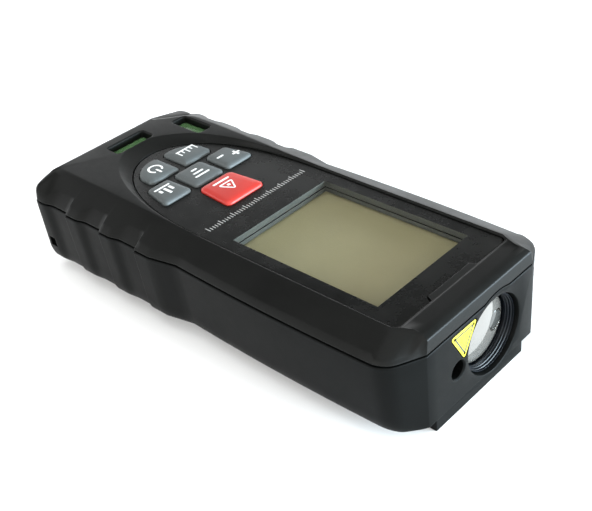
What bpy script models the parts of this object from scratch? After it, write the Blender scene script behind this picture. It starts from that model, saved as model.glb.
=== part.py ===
"""Hand-held laser distance meter, modelled piece by piece.

The meter lies on its back.  +X is the user's right, +Y points out of the laser
end and +Z out of the display.  The origin is on the supporting plane, under the
middle of the meter.  Lengths below are in millimetres and become metres when a
mesh is made.
"""
import math

import bmesh
import bpy
from mathutils import Vector

MM = 0.001
GAP = 0.3            # clearance between neighbouring pieces

# Overall body
FRONT_Y = 59.0
REAR_Y = -59.0
PARTING_Z = 21.7     # plane where the two housings meet
FLOOR_Z = 3.0        # underside of the housing, above the pedestal
WALL = 2.4

# Outline of the body at the parting plane
NOSE_HALF = 17.9     # half width of the flat laser end
CHAMFER_Y = 51.2     # where the nose chamfer has turned into the side
CHAMFER_SLOPE = 26.0 # angle of the straight part of the chamfer, in degrees
CHAMFER_BENDS = (48.0, 70.0)
SIDE_HALF = 27.05    # widest half width of the display half
SIDE_BOW = 0.6       # how far the sides draw in at the waist
WAIST_Y = -4.7
REAR_RADIUS = 5.0
REAR_LOW_RADIUS = 2.6 # the rear corners are tighter near the floor

# Grip ribs along the rear half of both sides
GRIP_HALF = 28.1
RIB_DEPTH = 0.8
RIB_PITCH = 13.3
FIRST_CREST_Y = -12.5
FIRST_STEP_Y = -17.5
STEP_RUN = 0.5
VALLEY_END = 6.0     # distance behind a step where the valley ends
RAMP_END = 9.8       # distance behind a step where the next crest starts
RIB_COUNT = 3

# Rings that round the lower edge of the rear housing: height and insets
LOW_RING_Z = (FLOOR_Z, 3.3, 4.4, 6.4)
SIDE_INSETS = (4.4, 2.8, 1.7, 1.1)
END_INSETS = (3.0, 1.5, 0.5, 0.0)
RIB_FADE = 0.9       # share of the rib depth that is gone at the lower edge

# Pedestal under the body
PEDESTAL_HALF = 15.7
PEDESTAL_REAR_Y = -56.5

# Display panel with its window
PANEL_HALF = 18.7
PANEL_FRONT_Y = 52.4
PANEL_REAR = 43.4    # the rounded rear end reaches this far behind the origin
PANEL_POWER = 2.7
PANEL_TOP_Z = 25.8
PANEL_THICK = 1.5
TONGUE_HALF = 7.2    # the housing bites into the front edge of the panel
TONGUE_DEPTH = 1.5
WINDOW_HALF = 15.35
WINDOW_REAR_Y = 3.5
WINDOW_FRONT_Y = 45.0
CRESCENT_HALF = 19.3
CRESCENT_REAR = 49.0
RIDGE_HALF = 20.2
SEAT_Z = PANEL_TOP_Z - PANEL_THICK - GAP
CEILING_Z = 22.9     # inside of the front housing under the panel
DISPLAY_TOP_Z = 22.6
RIM_Z = 26.25        # rim beside the display
CROWN_Z = 27.3       # rim around the rear end

# Keys
KEY_TOP_Z = 26.7
KEY_TRAVEL = 0.6
KEY_EDGE = 0.75      # slope around the top of a key
FLANGE = 0.4
FLANGE_Z = (22.0, 22.55)
PLUNGER_RADIUS = 1.7
BOARD_Z = (17.6, 18.8)
DOME_Z = (BOARD_Z[1] + GAP, BOARD_Z[1] + GAP + 0.3)
PLUNGER_Z = DOME_Z[1] + KEY_TRAVEL + 0.2
KEY_ROW_1 = (-19.0, -7.65)
KEY_ROW_2 = (-29.3, -20.4)
KEY_ROW_3 = (-40.7, -30.85)

# Optics in the laser end
LENS_X = -5.1
LENS_Z = 11.75
BORE_RADIUS = 9.3
BARREL_RADIUS = 9.8
LENS_RADIUS = 8.3
LASER_X = 7.9
LASER_Z = 11.1
APERTURE_RADIUS = 2.15
HUMP_X = LENS_X - 0.8
HUMP_HALF = 4.6
HUMP_RISE = 0.9
OPTICS_Y = (19.0, 48.1)
OPTICS_TOP_Z = 18.8  # the display tray lies over the optics block
NOSE_INSIDE_Y = 55.8 # nearest that the inside of the nose wall comes to the optics

# Plain triangular sticker on the laser end
LABEL_X = 5.75
LABEL_HALF = 4.45
LABEL_TOP_Z = 20.45
LABEL_SEAT = 0.45

# Battery bay, with two AAA cells side by side
CELL_RADIUS = 5.25
CELL_LENGTH = 44.5
CELL_X = 5.5
CELL_Y = -28.2
BAY_Y = (-53.5, -4.6)
BAY_HALF = 11.4
BAY_TOP_Z = 13.2
BAY_WALL = 1.2
COVER_HALF = 13.2
COVER_Y = (-54.6, -3.4)
COVER_Z = (0.3, 1.8)
COVER_HINGE_Z = COVER_Z[0]

# Screws that hold the housings together
REAR_SCREW = (21.1, -50.0)
FRONT_SCREW = (18.2, 51.2)
BOSS_RADIUS = 2.5
UPPER_BOSS_RADIUS = 2.2
COUNTERBORE_RADIUS = 2.1
SCREW_HOLE_RADIUS = 1.3
SCREW_SEAT_Z = 12.0
SCREW_TIP_Z = 23.0

# Spirit levels in the rear end: centre, half length of the slot, half width
CROSS_VIAL = (0.0, -51.3)
CROSS_SLOT = (5.9, 2.4)
LONG_VIAL = (-15.8, -44.7)
LONG_SLOT = (2.2, 5.45)
VIAL_RADIUS = 2.8
VIAL_BORE = 2.3
VIAL_FLUID = 2.0
VIAL_AXIS_Z = 22.2
VIAL_ROOF_Z = 25.3
BUBBLE_TRAVEL = 2.5

MATERIALS = {
    "black_plastic": ((0.030, 0.031, 0.030), 0.55, 0.0),
    "panel_black": ((0.035, 0.035, 0.034), 0.25, 0.0),
    "clear_plastic": ((0.85, 0.87, 0.85), 0.05, 0.0),
    "display_olive": ((0.26, 0.25, 0.15), 0.30, 0.0),
    "white_plastic": ((0.75, 0.75, 0.72), 0.50, 0.0),
    "dark_plastic": ((0.05, 0.05, 0.055), 0.60, 0.0),
    "key_grey": ((0.19, 0.20, 0.21), 0.60, 0.0),
    "key_red": ((0.62, 0.045, 0.03), 0.50, 0.0),
    "lens_glass": ((0.88, 0.89, 0.87), 0.05, 0.0),
    "barrel_dark": ((0.010, 0.016, 0.024), 0.35, 0.0),
    "aluminium": ((0.60, 0.60, 0.62), 0.40, 1.0),
    "steel": ((0.55, 0.55, 0.56), 0.30, 1.0),
    "brass": ((0.70, 0.52, 0.22), 0.35, 1.0),
    "board_green": ((0.02, 0.16, 0.06), 0.50, 0.0),
    "chip_black": ((0.02, 0.02, 0.02), 0.50, 0.0),
    "cell_wrap": ((0.55, 0.56, 0.58), 0.30, 0.6),
    "vial_green": ((0.25, 0.62, 0.16), 0.10, 0.0),
    "label_yellow": ((0.80, 0.72, 0.10), 0.45, 0.0),
    "rubber": ((0.03, 0.03, 0.03), 0.80, 0.0),
}


# ---------------------------------------------------------------- mesh helpers

def material(name):
    """Principled material of that name, made once."""
    if name in bpy.data.materials:
        return bpy.data.materials[name]
    colour, roughness, metallic = MATERIALS[name]
    made = bpy.data.materials.new(name)
    made.use_nodes = True
    shader = made.node_tree.nodes["Principled BSDF"]
    shader.inputs["Base Color"].default_value = (*colour, 1.0)
    shader.inputs["Roughness"].default_value = roughness
    shader.inputs["Metallic"].default_value = metallic
    return made


def finish(name, bm, finish_name, origin=(0.0, 0.0, 0.0), smooth=False):
    """Turn millimetre geometry into a metre-sized object with its own origin."""
    offset = Vector(origin)
    for vert in bm.verts:
        vert.co = (vert.co - offset) * MM
    bmesh.ops.recalc_face_normals(bm, faces=bm.faces)
    mesh = bpy.data.meshes.new(name)
    bm.to_mesh(mesh)
    bm.free()
    if smooth:
        mesh.shade_smooth()
        mesh.set_sharp_from_angle(angle=math.radians(35))
    made = bpy.data.objects.new(name, mesh)
    made.location = offset * MM
    made.data.materials.append(material(finish_name))
    bpy.context.collection.objects.link(made)
    return made


def loft(bm, rings):
    """Bridge closed rings of equal length and cap both ends."""
    loops = [[bm.verts.new(point) for point in ring] for ring in rings]
    count = len(loops[0])
    for lower, upper in zip(loops, loops[1:]):
        for i in range(count):
            j = (i + 1) % count
            bm.faces.new((lower[i], lower[j], upper[j], upper[i]))
    bm.faces.new(loops[0])
    bm.faces.new(loops[-1])


def add_prism(bm, outline, low, high):
    """Straight prism over a plan outline."""
    loft(bm, [[(x, y, low) for x, y in outline], [(x, y, high) for x, y in outline]])


def add_box(bm, xs, ys, zs):
    """Rectangular block between three pairs of limits."""
    outline = [(xs[0], ys[0]), (xs[1], ys[0]), (xs[1], ys[1]), (xs[0], ys[1])]
    add_prism(bm, outline, zs[0], zs[1])


def circle(radius, segments, turn=0.5):
    """Points on a circle about the origin; turn shifts them by part of a step."""
    step = 2 * math.pi / segments
    return [(radius * math.cos((i + turn) * step), radius * math.sin((i + turn) * step))
            for i in range(segments)]


def add_turned(bm, profile, axis, centre, segments=24):
    """Solid of revolution from (distance along the axis, radius) pairs.

    Centre holds the two coordinates across the axis, in x-y-z order.
    """
    rings = []
    for along, radius in profile:
        ring = []
        for u, v in circle(radius, segments):
            if axis == "x":
                ring.append((along, centre[0] + u, centre[1] + v))
            elif axis == "y":
                ring.append((centre[0] + u, along, centre[1] + v))
            else:
                ring.append((centre[0] + u, centre[1] + v, along))
        rings.append(ring)
    loft(bm, rings)


def rounded(corners, radius, segments=3):
    """Plan polygon with its corners rounded to one radius."""
    points = []
    count = len(corners)
    for i, corner in enumerate(corners):
        here = Vector(corner)
        before = (Vector(corners[i - 1]) - here).normalized()
        after = (Vector(corners[(i + 1) % count]) - here).normalized()
        half = before.angle(after) / 2
        reach = radius / math.tan(half)
        centre = here + (before + after).normalized() * (radius / math.sin(half))
        start = here + before * reach - centre
        end = here + after * reach - centre
        for k in range(segments + 1):
            mix = start.lerp(end, k / segments).normalized() * radius
            points.append(tuple(centre + mix))
    return points


def grown(outline, distance):
    """Plan outline moved outwards by a distance, point by point."""
    area = sum(a[0] * b[1] - b[0] * a[1] for a, b in zip(outline, outline[1:] + outline[:1]))
    side = 1 if area > 0 else -1
    points = []
    count = len(outline)
    for i, point in enumerate(outline):
        here = Vector(point)
        along_in = (here - Vector(outline[i - 1])).normalized()
        along_out = (Vector(outline[(i + 1) % count]) - here).normalized()
        normal_in = Vector((along_in.y, -along_in.x)) * side
        normal_out = Vector((along_out.y, -along_out.x)) * side
        middle = normal_in + normal_out
        points.append(tuple(here + middle * (2 * distance / middle.length_squared)))
    return points


def cut(target, cutter, operation="DIFFERENCE"):
    """Boolean with a helper object that is left out of the model."""
    cutter.hide_render = True
    cutter.display_type = "WIRE"
    modifier = target.modifiers.new(cutter.name, "BOOLEAN")
    modifier.operation = operation
    modifier.solver = "EXACT"
    modifier.object = cutter


def join(target, piece):
    """Boolean union with a helper object."""
    cut(target, piece, "UNION")


def helper(name, build):
    """Helper object filled by a function that adds geometry to a bmesh."""
    bm = bmesh.new()
    build(bm)
    return finish(name, bm, "black_plastic")


def smoothstep(edge_a, edge_b, value):
    """0 at edge_a, 1 at edge_b, smooth in between."""
    t = min(max((value - edge_a) / (edge_b - edge_a), 0.0), 1.0)
    return t * t * (3 - 2 * t)


# ------------------------------------------------------------------ body outline

def side_half_width(y):
    """Half width of the body at the parting plane, with the grip ribs."""
    waist = SIDE_HALF - SIDE_BOW
    if y >= WAIST_Y:
        middle = (WAIST_Y + FRONT_Y - 5) / 2
        return SIDE_HALF - SIDE_BOW * ((y - middle) / (middle - WAIST_Y)) ** 2
    if y >= FIRST_CREST_Y:
        rise = (WAIST_Y - y) / (WAIST_Y - FIRST_CREST_Y)
        return waist + (GRIP_HALF - waist) * rise
    return GRIP_HALF - RIB_DEPTH * valley_weight(y)


def valley_weight(y):
    """1 on the floor of a valley between two ribs, 0 on a crest."""
    if y > FIRST_STEP_Y or y < FIRST_STEP_Y - RIB_COUNT * RIB_PITCH:
        return 0.0
    behind = (FIRST_STEP_Y - y) % RIB_PITCH
    if behind < STEP_RUN:
        return behind / STEP_RUN
    if behind < VALLEY_END:
        return 1.0
    if behind < RAMP_END:
        return 1.0 - (behind - VALLEY_END) / (RAMP_END - VALLEY_END)
    return 0.0


def stations(rear_radius=REAR_RADIUS):
    """Stations round the right half, from the nose centre to the rear centre.

    Each is (x, y, normal_x, normal_y, kind, valley weight).
    """
    found = [(x, FRONT_Y, 0.0, 1.0, "nose", 0.0) for x in (0.0, 9.0, NOSE_HALF)]
    width = side_half_width(CHAMFER_Y) - NOSE_HALF
    depth = FRONT_Y - CHAMFER_Y
    sine = math.sin(math.radians(CHAMFER_SLOPE))
    cosine = math.cos(math.radians(CHAMFER_SLOPE))
    bend = (depth * cosine - width * sine) / (1 - sine)
    run = (depth - bend * cosine) / sine
    for share in (0.5, 1.0):
        x = NOSE_HALF + run * cosine * share
        found.append((x, FRONT_Y - run * sine * share, sine, cosine, "chamfer", 0.0))
    for angle in CHAMFER_BENDS:
        nx = math.sin(math.radians(angle))
        ny = math.cos(math.radians(angle))
        found.append((NOSE_HALF + width - bend * (1 - nx), CHAMFER_Y + bend * ny, nx, ny, "chamfer", 0.0))
    side_ys = [CHAMFER_Y, 40.0, 30.0, 20.0, 10.0, 2.0, WAIST_Y, FIRST_CREST_Y]
    for rib in range(RIB_COUNT):
        step_y = FIRST_STEP_Y - rib * RIB_PITCH
        side_ys += [step_y, step_y - STEP_RUN, step_y - VALLEY_END, step_y - RAMP_END]
    for y in side_ys:
        found.append((side_half_width(y), y, 1.0, 0.0, "side", valley_weight(y)))
    for angle in (-22.5, -45.0, -67.5, -90.0):
        nx = math.cos(math.radians(angle))
        ny = math.sin(math.radians(angle))
        x = GRIP_HALF - rear_radius + rear_radius * nx
        y = REAR_Y + rear_radius + rear_radius * ny
        found.append((x, y, nx, ny, "corner", 0.0))
    found.append((12.0, REAR_Y, 0.0, -1.0, "rear", 0.0))
    found.append((0.0, REAR_Y, 0.0, -1.0, "rear", 0.0))
    return found


def mirrored(half):
    """Whole ring from its right half; the first and last points lie on the axis."""
    return half + [(-x, y, z) for x, y, z in reversed(half[1:-1])]


def rim_height(y):
    """Height of the rim: low beside the display, higher round the rear end."""
    return RIM_Z + (CROWN_Z - RIM_Z) * smoothstep(6.0, -42.0, y)


def bullet(half, reach, fraction):
    """Point on a rounded rear end; fraction runs from the waist to the apex."""
    start = math.asin(-WAIST_Y / reach)
    angle = start + (math.pi / 2 - start) * fraction
    depth = min(math.sin(angle), 1.0)
    x = half * math.sqrt(max(1 - depth ** PANEL_POWER, 0.0))
    return x, -reach * depth


def panel_outline(growth=0.0, segments=10):
    """Outline of the display panel, anticlockwise from its front right corner."""
    right = []
    for k in range(segments + 1):
        right.append(bullet(PANEL_HALF + growth, PANEL_REAR + growth, k / segments))
    front = PANEL_FRONT_Y + growth
    notch = TONGUE_HALF - growth
    notch_y = front - TONGUE_DEPTH
    left = [(-x, y) for x, y in reversed(right[:-1])]
    corner = 1.2
    half = PANEL_HALF + growth
    nose = [(-half, front - corner), (-half + 0.4 * corner, front - 0.4 * corner), (-half + corner, front)]
    nose += [(-notch - 0.7, front), (-notch, notch_y)]
    nose += [(-x, y) for x, y in reversed(nose)]
    return right + left + nose


# ------------------------------------------------------------------- housings

def lower_ring(z, side_inset, end_inset, rear_radius):
    """Ring of the rear housing at one height; the ribs fade as the sides draw in."""
    half = []
    for x, y, nx, ny, kind, valley in stations(rear_radius):
        inset_x = 0.0 if kind == "rear" else side_inset
        inset_y = end_inset if kind in ("corner", "rear") else 0.0
        if kind in ("nose", "chamfer"):
            inset_x *= max((x - NOSE_HALF) / (side_half_width(CHAMFER_Y) - NOSE_HALF), 0.0) ** 1.5
        if kind == "side":
            inset_x -= RIB_FADE * RIB_DEPTH * valley * side_inset / SIDE_INSETS[0]
        half.append((x - inset_x, y + inset_y, z))
    return mirrored(half)


def screw_places():
    """Plan position of each housing screw."""
    return [(side * x, y) for x, y in (REAR_SCREW, FRONT_SCREW) for side in (-1, 1)]


def cavity_outline(inset):
    """Inside of the two housings."""
    side = SIDE_HALF - SIDE_BOW - inset
    nose = NOSE_HALF - 1.0
    rear = REAR_Y + inset + 0.6
    front = FRONT_Y - WALL - 0.2 * inset
    right = [(nose, front), (side, CHAMFER_Y - 1.0), (side, rear + 7.0), (side - 6.0, rear)]
    return right + [(-x, y) for x, y in reversed(right)]


def rear_housing():
    """Tray that carries the optics, the battery bay and the laser end."""
    bm = bmesh.new()
    rim = PARTING_Z - GAP / 2
    levels = zip(LOW_RING_Z, SIDE_INSETS, END_INSETS)
    rings = [lower_ring(z, side, end, REAR_LOW_RADIUS) for z, side, end in levels]
    rings.append(lower_ring(rim, 0.0, 0.0, REAR_RADIUS))
    loft(bm, rings)
    housing = finish("rear_housing", bm, "black_plastic", smooth=True)

    def pedestal(bm):
        half = PEDESTAL_HALF
        corners = [(-half, PEDESTAL_REAR_Y), (half, PEDESTAL_REAR_Y), (half, FRONT_Y), (-half, FRONT_Y)]
        add_prism(bm, corners, 0.0, FLOOR_Z + 1.0)

    def inside(bm):
        steps = [(3.9, 5.0), (3.9, 12.0), (2.4, 12.0), (2.4, PARTING_Z + 1.0)]
        loft(bm, [[(x, y, z) for x, y in cavity_outline(inset)] for inset, z in steps])

    def optics_pocket(bm):
        add_box(bm, (-PEDESTAL_HALF + 1.4, PEDESTAL_HALF - 1.4), (12.0, FRONT_Y - WALL - 0.2), (1.8, 6.0))

    def bay_box(bm):
        half = BAY_HALF + BAY_WALL
        ys = (BAY_Y[0] - BAY_WALL, BAY_Y[1] + BAY_WALL)
        add_box(bm, (-half, half), ys, (FLOOR_Z - 1.0, BAY_TOP_Z + BAY_WALL))

    def bosses(bm):
        for place in screw_places():
            add_turned(bm, [(FLOOR_Z + 0.5, BOSS_RADIUS), (PARTING_Z - 0.3, BOSS_RADIUS)], "z", place, 16)

    def hump(bm):
        points = [(HUMP_HALF * math.cos(math.pi * (1 - k / 8)), 0.5 - 0.5 * math.cos(math.pi * k / 4))
                  for k in range(9)]
        profile = [(HUMP_X + u, rim + HUMP_RISE * rise) for u, rise in points[1:-1]]
        profile = [(HUMP_X - HUMP_HALF, rim)] + profile + [(HUMP_X + HUMP_HALF, rim)]
        profile += [(HUMP_X + HUMP_HALF, rim - 1.5), (HUMP_X - HUMP_HALF, rim - 1.5)]
        loft(bm, [[(x, y, z) for x, z in profile] for y in (FRONT_Y - WALL - 0.1, FRONT_Y - 0.03)])

    def bay_cut(bm):
        add_box(bm, (-BAY_HALF, BAY_HALF), BAY_Y, (-1.0, BAY_TOP_Z))

    def cover_seat(bm):
        half = COVER_HALF + GAP
        add_box(bm, (-half, half), (COVER_Y[0] - GAP, COVER_Y[1] + GAP), (-1.0, COVER_Z[1] + GAP))

    def screw_holes(bm):
        profile = [(-1.0, COUNTERBORE_RADIUS), (SCREW_SEAT_Z, COUNTERBORE_RADIUS),
                   (SCREW_SEAT_Z, SCREW_HOLE_RADIUS), (PARTING_Z + 1.0, SCREW_HOLE_RADIUS)]
        for place in screw_places():
            add_turned(bm, profile, "z", place, 16)

    def lens_bore(bm):
        profile = [(NOSE_INSIDE_Y - 1.0, BORE_RADIUS), (FRONT_Y - 0.45, BORE_RADIUS),
                   (FRONT_Y + 0.2, BORE_RADIUS + 0.9)]
        add_turned(bm, profile, "y", (LENS_X, LENS_Z), 40)

    def laser_bore(bm):
        profile = [(NOSE_INSIDE_Y - 1.0, APERTURE_RADIUS), (FRONT_Y + 1.0, APERTURE_RADIUS)]
        add_turned(bm, profile, "y", (LASER_X, LASER_Z), 20)

    def label_seat(bm):
        loft(bm, [[(x, y, z) for x, z in label_outline(GAP)] for y in (FRONT_Y - LABEL_SEAT, FRONT_Y + 1.0)])

    def lanyard_cuts(bm):
        turn = [(30.0, -56.0), (30.0, -53.6), (20.8, -53.6), (20.8, -60.0), (23.4, -60.0), (23.4, -56.0)]
        add_prism(bm, turn, 8.2, 11.0)

    join(housing, helper("pedestal", pedestal))
    cut(housing, helper("housing_inside", inside))
    cut(housing, helper("optics_pocket", optics_pocket))
    join(housing, helper("bay_box", bay_box))
    join(housing, helper("bosses", bosses))
    join(housing, helper("lens_hump", hump))
    cut(housing, helper("bay_cut", bay_cut))
    cut(housing, helper("cover_seat", cover_seat))
    cut(housing, helper("screw_holes", screw_holes))
    cut(housing, helper("lens_bore", lens_bore))
    cut(housing, helper("laser_bore", laser_bore))
    cut(housing, helper("label_seat", label_seat))
    cut(housing, helper("lanyard_cuts", lanyard_cuts))


def front_rings():
    """Rings of the front housing from the parting plane to the panel recess."""
    base = []
    band = []
    ridge = []
    crest = []
    rim = []
    lip = []
    found = stations()
    rear = [k for k, s in enumerate(found) if s[1] <= WAIST_Y]
    for k, (x, y, nx, ny, kind, valley) in enumerate(found):
        base.append((x - 0.25 * nx, y - 0.1 * ny, PARTING_Z + GAP / 2))
        if kind == "nose":
            width = x / NOSE_HALF
            band.append((x - 0.5 * width, y - 0.15, 25.2))
            ridge.append((17.2 * width, y - 1.5, 25.85))
            crest.append((16.9 * width, y - 2.6, 26.0))
            rim.append((17.7 * width, PANEL_FRONT_Y + 0.75, 26.1))
            lip.append((17.7 * width, PANEL_FRONT_Y + 0.5, PANEL_TOP_Z + 0.15))
            continue
        if kind == "chamfer":
            across = (x - NOSE_HALF) / (side_half_width(CHAMFER_Y) - NOSE_HALF)
            turn = math.sqrt(1 - min(across, 1.0) ** 2)
            band.append((x - 0.9 * nx, y - 0.9 * ny, 22.6 + 0.5 * (1 - turn)))
            ridge.append((RIDGE_HALF - 2.7 * turn, CHAMFER_Y + 5.2 * turn, 25.95))
            crest.append((RIDGE_HALF - 0.8 - 2.4 * turn, CHAMFER_Y + 4.4 * turn, RIM_Z))
            rim.append((CRESCENT_HALF - 0.9 * turn, CHAMFER_Y + 1.6 * turn, RIM_Z))
            lip.append((PANEL_HALF + 0.5 - 0.6 * turn, CHAMFER_Y + 1.4 * turn, PANEL_TOP_Z + 0.15))
            continue
        top = rim_height(y)
        rearward = smoothstep(0.0, 0.7, -ny)
        grip = smoothstep(WAIST_Y, FIRST_CREST_Y, y)
        inset = 1.65 + 0.35 * grip - 1.5 * rearward
        edge = x + RIB_DEPTH * valley - inset * nx
        edge_z = 23.4 + 1.6 * rearward
        climb = min(1.2 / (top - 0.35 - edge_z), 1.0) * valley
        band.append((edge + (RIDGE_HALF - edge) * climb, y - inset * ny, edge_z + (top - 0.35 - edge_z) * climb))
        end_y = max(y, REAR_Y + 1.0)
        corner_x = min(x, RIDGE_HALF) if kind != "corner" else RIDGE_HALF - 0.8 * (1 - nx)
        corner_y = end_y if kind != "corner" else REAR_Y + REAR_RADIUS + (REAR_RADIUS - 1.0) * ny
        ridge.append((corner_x, corner_y, top - 0.35 - 0.25 * rearward))
        crest_x = corner_x - (0.8 if kind != "rear" else 0.0)
        crest.append((crest_x * (1.0 if kind != "rear" else 0.98), corner_y + 1.2 * rearward, top))
        if y >= WAIST_Y:
            rim.append((CRESCENT_HALF, y, top))
            lip.append((PANEL_HALF + 0.5, y, PANEL_TOP_Z + 0.15))
            continue
        fraction = (k - rear[0]) / (len(rear) - 1)
        outer = bullet(CRESCENT_HALF, CRESCENT_REAR, fraction)
        inner = bullet(PANEL_HALF + 0.5, PANEL_REAR + 0.5, fraction)
        rim.append((*outer, rim_height(outer[1])))
        lip.append((*inner, PANEL_TOP_Z + 0.15))
    return [mirrored(half) for half in (base, band, ridge, crest, rim, lip)]


def front_housing():
    """Face of the meter: seat for the panel, key openings and vial slots."""
    bm = bmesh.new()
    loft(bm, front_rings())
    housing = finish("front_housing", bm, "black_plastic", smooth=True)

    def panel_recess(bm):
        add_prism(bm, panel_outline(GAP), SEAT_Z, CROWN_Z + 1.0)

    def inside(bm):
        add_prism(bm, cavity_outline(2.2), PARTING_Z - 1.0, CEILING_Z)

    def vial_rooms(bm):
        add_box(bm, (-19.0, 12.0), (-55.2, -47.4), (PARTING_Z - 1.0, VIAL_ROOF_Z))

    def long_vial_room(bm):
        add_box(bm, (-19.0, -12.6), (-52.6, -36.8), (PARTING_Z - 1.0, VIAL_ROOF_Z))

    def bosses(bm):
        for place in screw_places():
            profile = [(PARTING_Z + 0.3, UPPER_BOSS_RADIUS), (CEILING_Z + 0.4, UPPER_BOSS_RADIUS)]
            add_turned(bm, profile, "z", place, 16)

    def screw_holes(bm):
        for place in screw_places():
            profile = [(PARTING_Z - 1.0, SCREW_HOLE_RADIUS), (SCREW_TIP_Z + 0.4, SCREW_HOLE_RADIUS)]
            add_turned(bm, profile, "z", place, 16)

    def vial_slots(bm):
        for (cx, cy), (half_x, half_y) in ((CROSS_VIAL, CROSS_SLOT), (LONG_VIAL, LONG_SLOT)):
            corners = [(cx - half_x, cy - half_y), (cx + half_x, cy - half_y),
                       (cx + half_x, cy + half_y), (cx - half_x, cy + half_y)]
            add_prism(bm, rounded(corners, 0.8, 2), PARTING_Z, CROWN_Z + 2.0)

    def window_opening(bm):
        add_box(bm, (-WINDOW_HALF, WINDOW_HALF), (WINDOW_REAR_Y, WINDOW_FRONT_Y), (PARTING_Z, CROWN_Z))

    def hump_notch(bm):
        low = PARTING_Z - 1.0
        top = PARTING_Z + GAP / 2
        points = [(HUMP_X + (HUMP_HALF + 0.3) * math.cos(math.pi * (1 - k / 8)),
                   top + HUMP_RISE * (0.5 - 0.5 * math.cos(math.pi * k / 4))) for k in range(1, 8)]
        profile = [(HUMP_X - HUMP_HALF - 0.3, low)] + points + [(HUMP_X + HUMP_HALF + 0.3, low)]
        loft(bm, [[(x, y, z) for x, z in profile] for y in (FRONT_Y - WALL - GAP, FRONT_Y + 1.0)])

    cut(housing, helper("panel_recess", panel_recess))
    cut(housing, helper("front_inside", inside))
    cut(housing, helper("vial_rooms", vial_rooms))
    cut(housing, helper("long_vial_room", long_vial_room))
    join(housing, helper("front_bosses", bosses))
    cut(housing, helper("front_screw_holes", screw_holes))
    cut(housing, helper("vial_slots", vial_slots))
    cut(housing, helper("window_opening", window_opening))
    cut(housing, helper("hump_notch", hump_notch))
    cut(housing, key_openings("housing_key_openings", GAP))


# ----------------------------------------------------------------------- keys

def key_outlines():
    """Plan outlines of the six keys."""
    rear, front = KEY_ROW_2
    side_key = rounded([(6.35, rear), (13.0, rear), (14.8, front), (6.0, front)], 1.0)
    rear, front = KEY_ROW_3
    round_key = [(1.1, front), (1.1, rear + 0.6), (1.7, rear)]
    for k in range(6):
        angle = math.radians(12 + 74 * (5 - k) / 5)
        round_key.append((2.2 + 9.2 * math.cos(angle), front - 2.4 - 7.6 * math.sin(angle)))
    round_key += [(11.3, front - 0.9), (10.5, front)]
    measure = [(-5.15, KEY_ROW_1[0]), (5.15, KEY_ROW_1[0]), (6.1, KEY_ROW_1[1]), (-6.1, KEY_ROW_1[1])]
    function = [(-4.45, KEY_ROW_2[0]), (4.45, KEY_ROW_2[0]), (4.65, KEY_ROW_2[1]), (-4.65, KEY_ROW_2[1])]
    return {
        "key_measure": rounded(measure, 1.3),
        "key_plus_minus": [(-x, y) for x, y in reversed(side_key)],
        "key_function": rounded(function, 1.0),
        "key_memory": side_key,
        "key_unit": [(-x, y) for x, y in reversed(round_key)],
        "key_clear": round_key,
    }


def middle_of(outline):
    """Centre of an outline's box."""
    xs = [x for x, _ in outline]
    ys = [y for _, y in outline]
    return (min(xs) + max(xs)) / 2, (min(ys) + max(ys)) / 2


def key_openings(name, growth):
    """Cutter with one prism for each key."""
    def build(bm):
        for outline in key_outlines().values():
            add_prism(bm, grown(outline, growth), PARTING_Z, CROWN_Z + 1.0)
    return helper(name, build)


def keys_and_domes():
    """Key caps with their flange and plunger, and the snap dome under each."""
    for name, outline in key_outlines().items():
        cx, cy = middle_of(outline)
        bm = bmesh.new()
        flange = grown(outline, FLANGE)
        shoulder = KEY_TOP_Z - 0.55
        rings = [(flange, FLANGE_Z[0]), (flange, FLANGE_Z[1]), (outline, FLANGE_Z[1]), (outline, shoulder),
                 (grown(outline, -KEY_EDGE), KEY_TOP_Z)]
        loft(bm, [[(x, y, z) for x, y in ring] for ring, z in rings])
        finish_name = "key_red" if name == "key_measure" else "key_grey"
        key = finish(name, bm, finish_name, (cx, cy, FLANGE_Z[0]))

        def plunger(bm):
            profile = [(PLUNGER_Z, PLUNGER_RADIUS), (FLANGE_Z[0] + 0.4, PLUNGER_RADIUS)]
            add_turned(bm, profile, "z", (cx, cy), 12)

        join(key, helper(name + "_plunger", plunger))
        bm = bmesh.new()
        add_turned(bm, [(DOME_Z[0], 2.4), (DOME_Z[0] + 0.1, 2.3), (DOME_Z[1], 1.3)], "z", (cx, cy), 12)
        finish(name.replace("key_", "dome_"), bm, "steel")


# -------------------------------------------------------------- panel and display

def panel_and_window():
    """Printed panel with a clear window set into it."""
    bm = bmesh.new()
    add_prism(bm, panel_outline(), PANEL_TOP_Z - PANEL_THICK, PANEL_TOP_Z)
    panel = finish("display_panel", bm, "panel_black")

    def window_cut(bm):
        add_box(bm, (-WINDOW_HALF, WINDOW_HALF), (WINDOW_REAR_Y, WINDOW_FRONT_Y), (PARTING_Z, CROWN_Z))

    cut(panel, helper("panel_window_cut", window_cut))
    cut(panel, key_openings("panel_key_openings", GAP))
    bm = bmesh.new()
    half = WINDOW_HALF - GAP
    ys = (WINDOW_REAR_Y + GAP, WINDOW_FRONT_Y - GAP)
    add_box(bm, (-half, half), ys, (PANEL_TOP_Z - PANEL_THICK, PANEL_TOP_Z))
    finish("display_window", bm, "clear_plastic")


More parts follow.
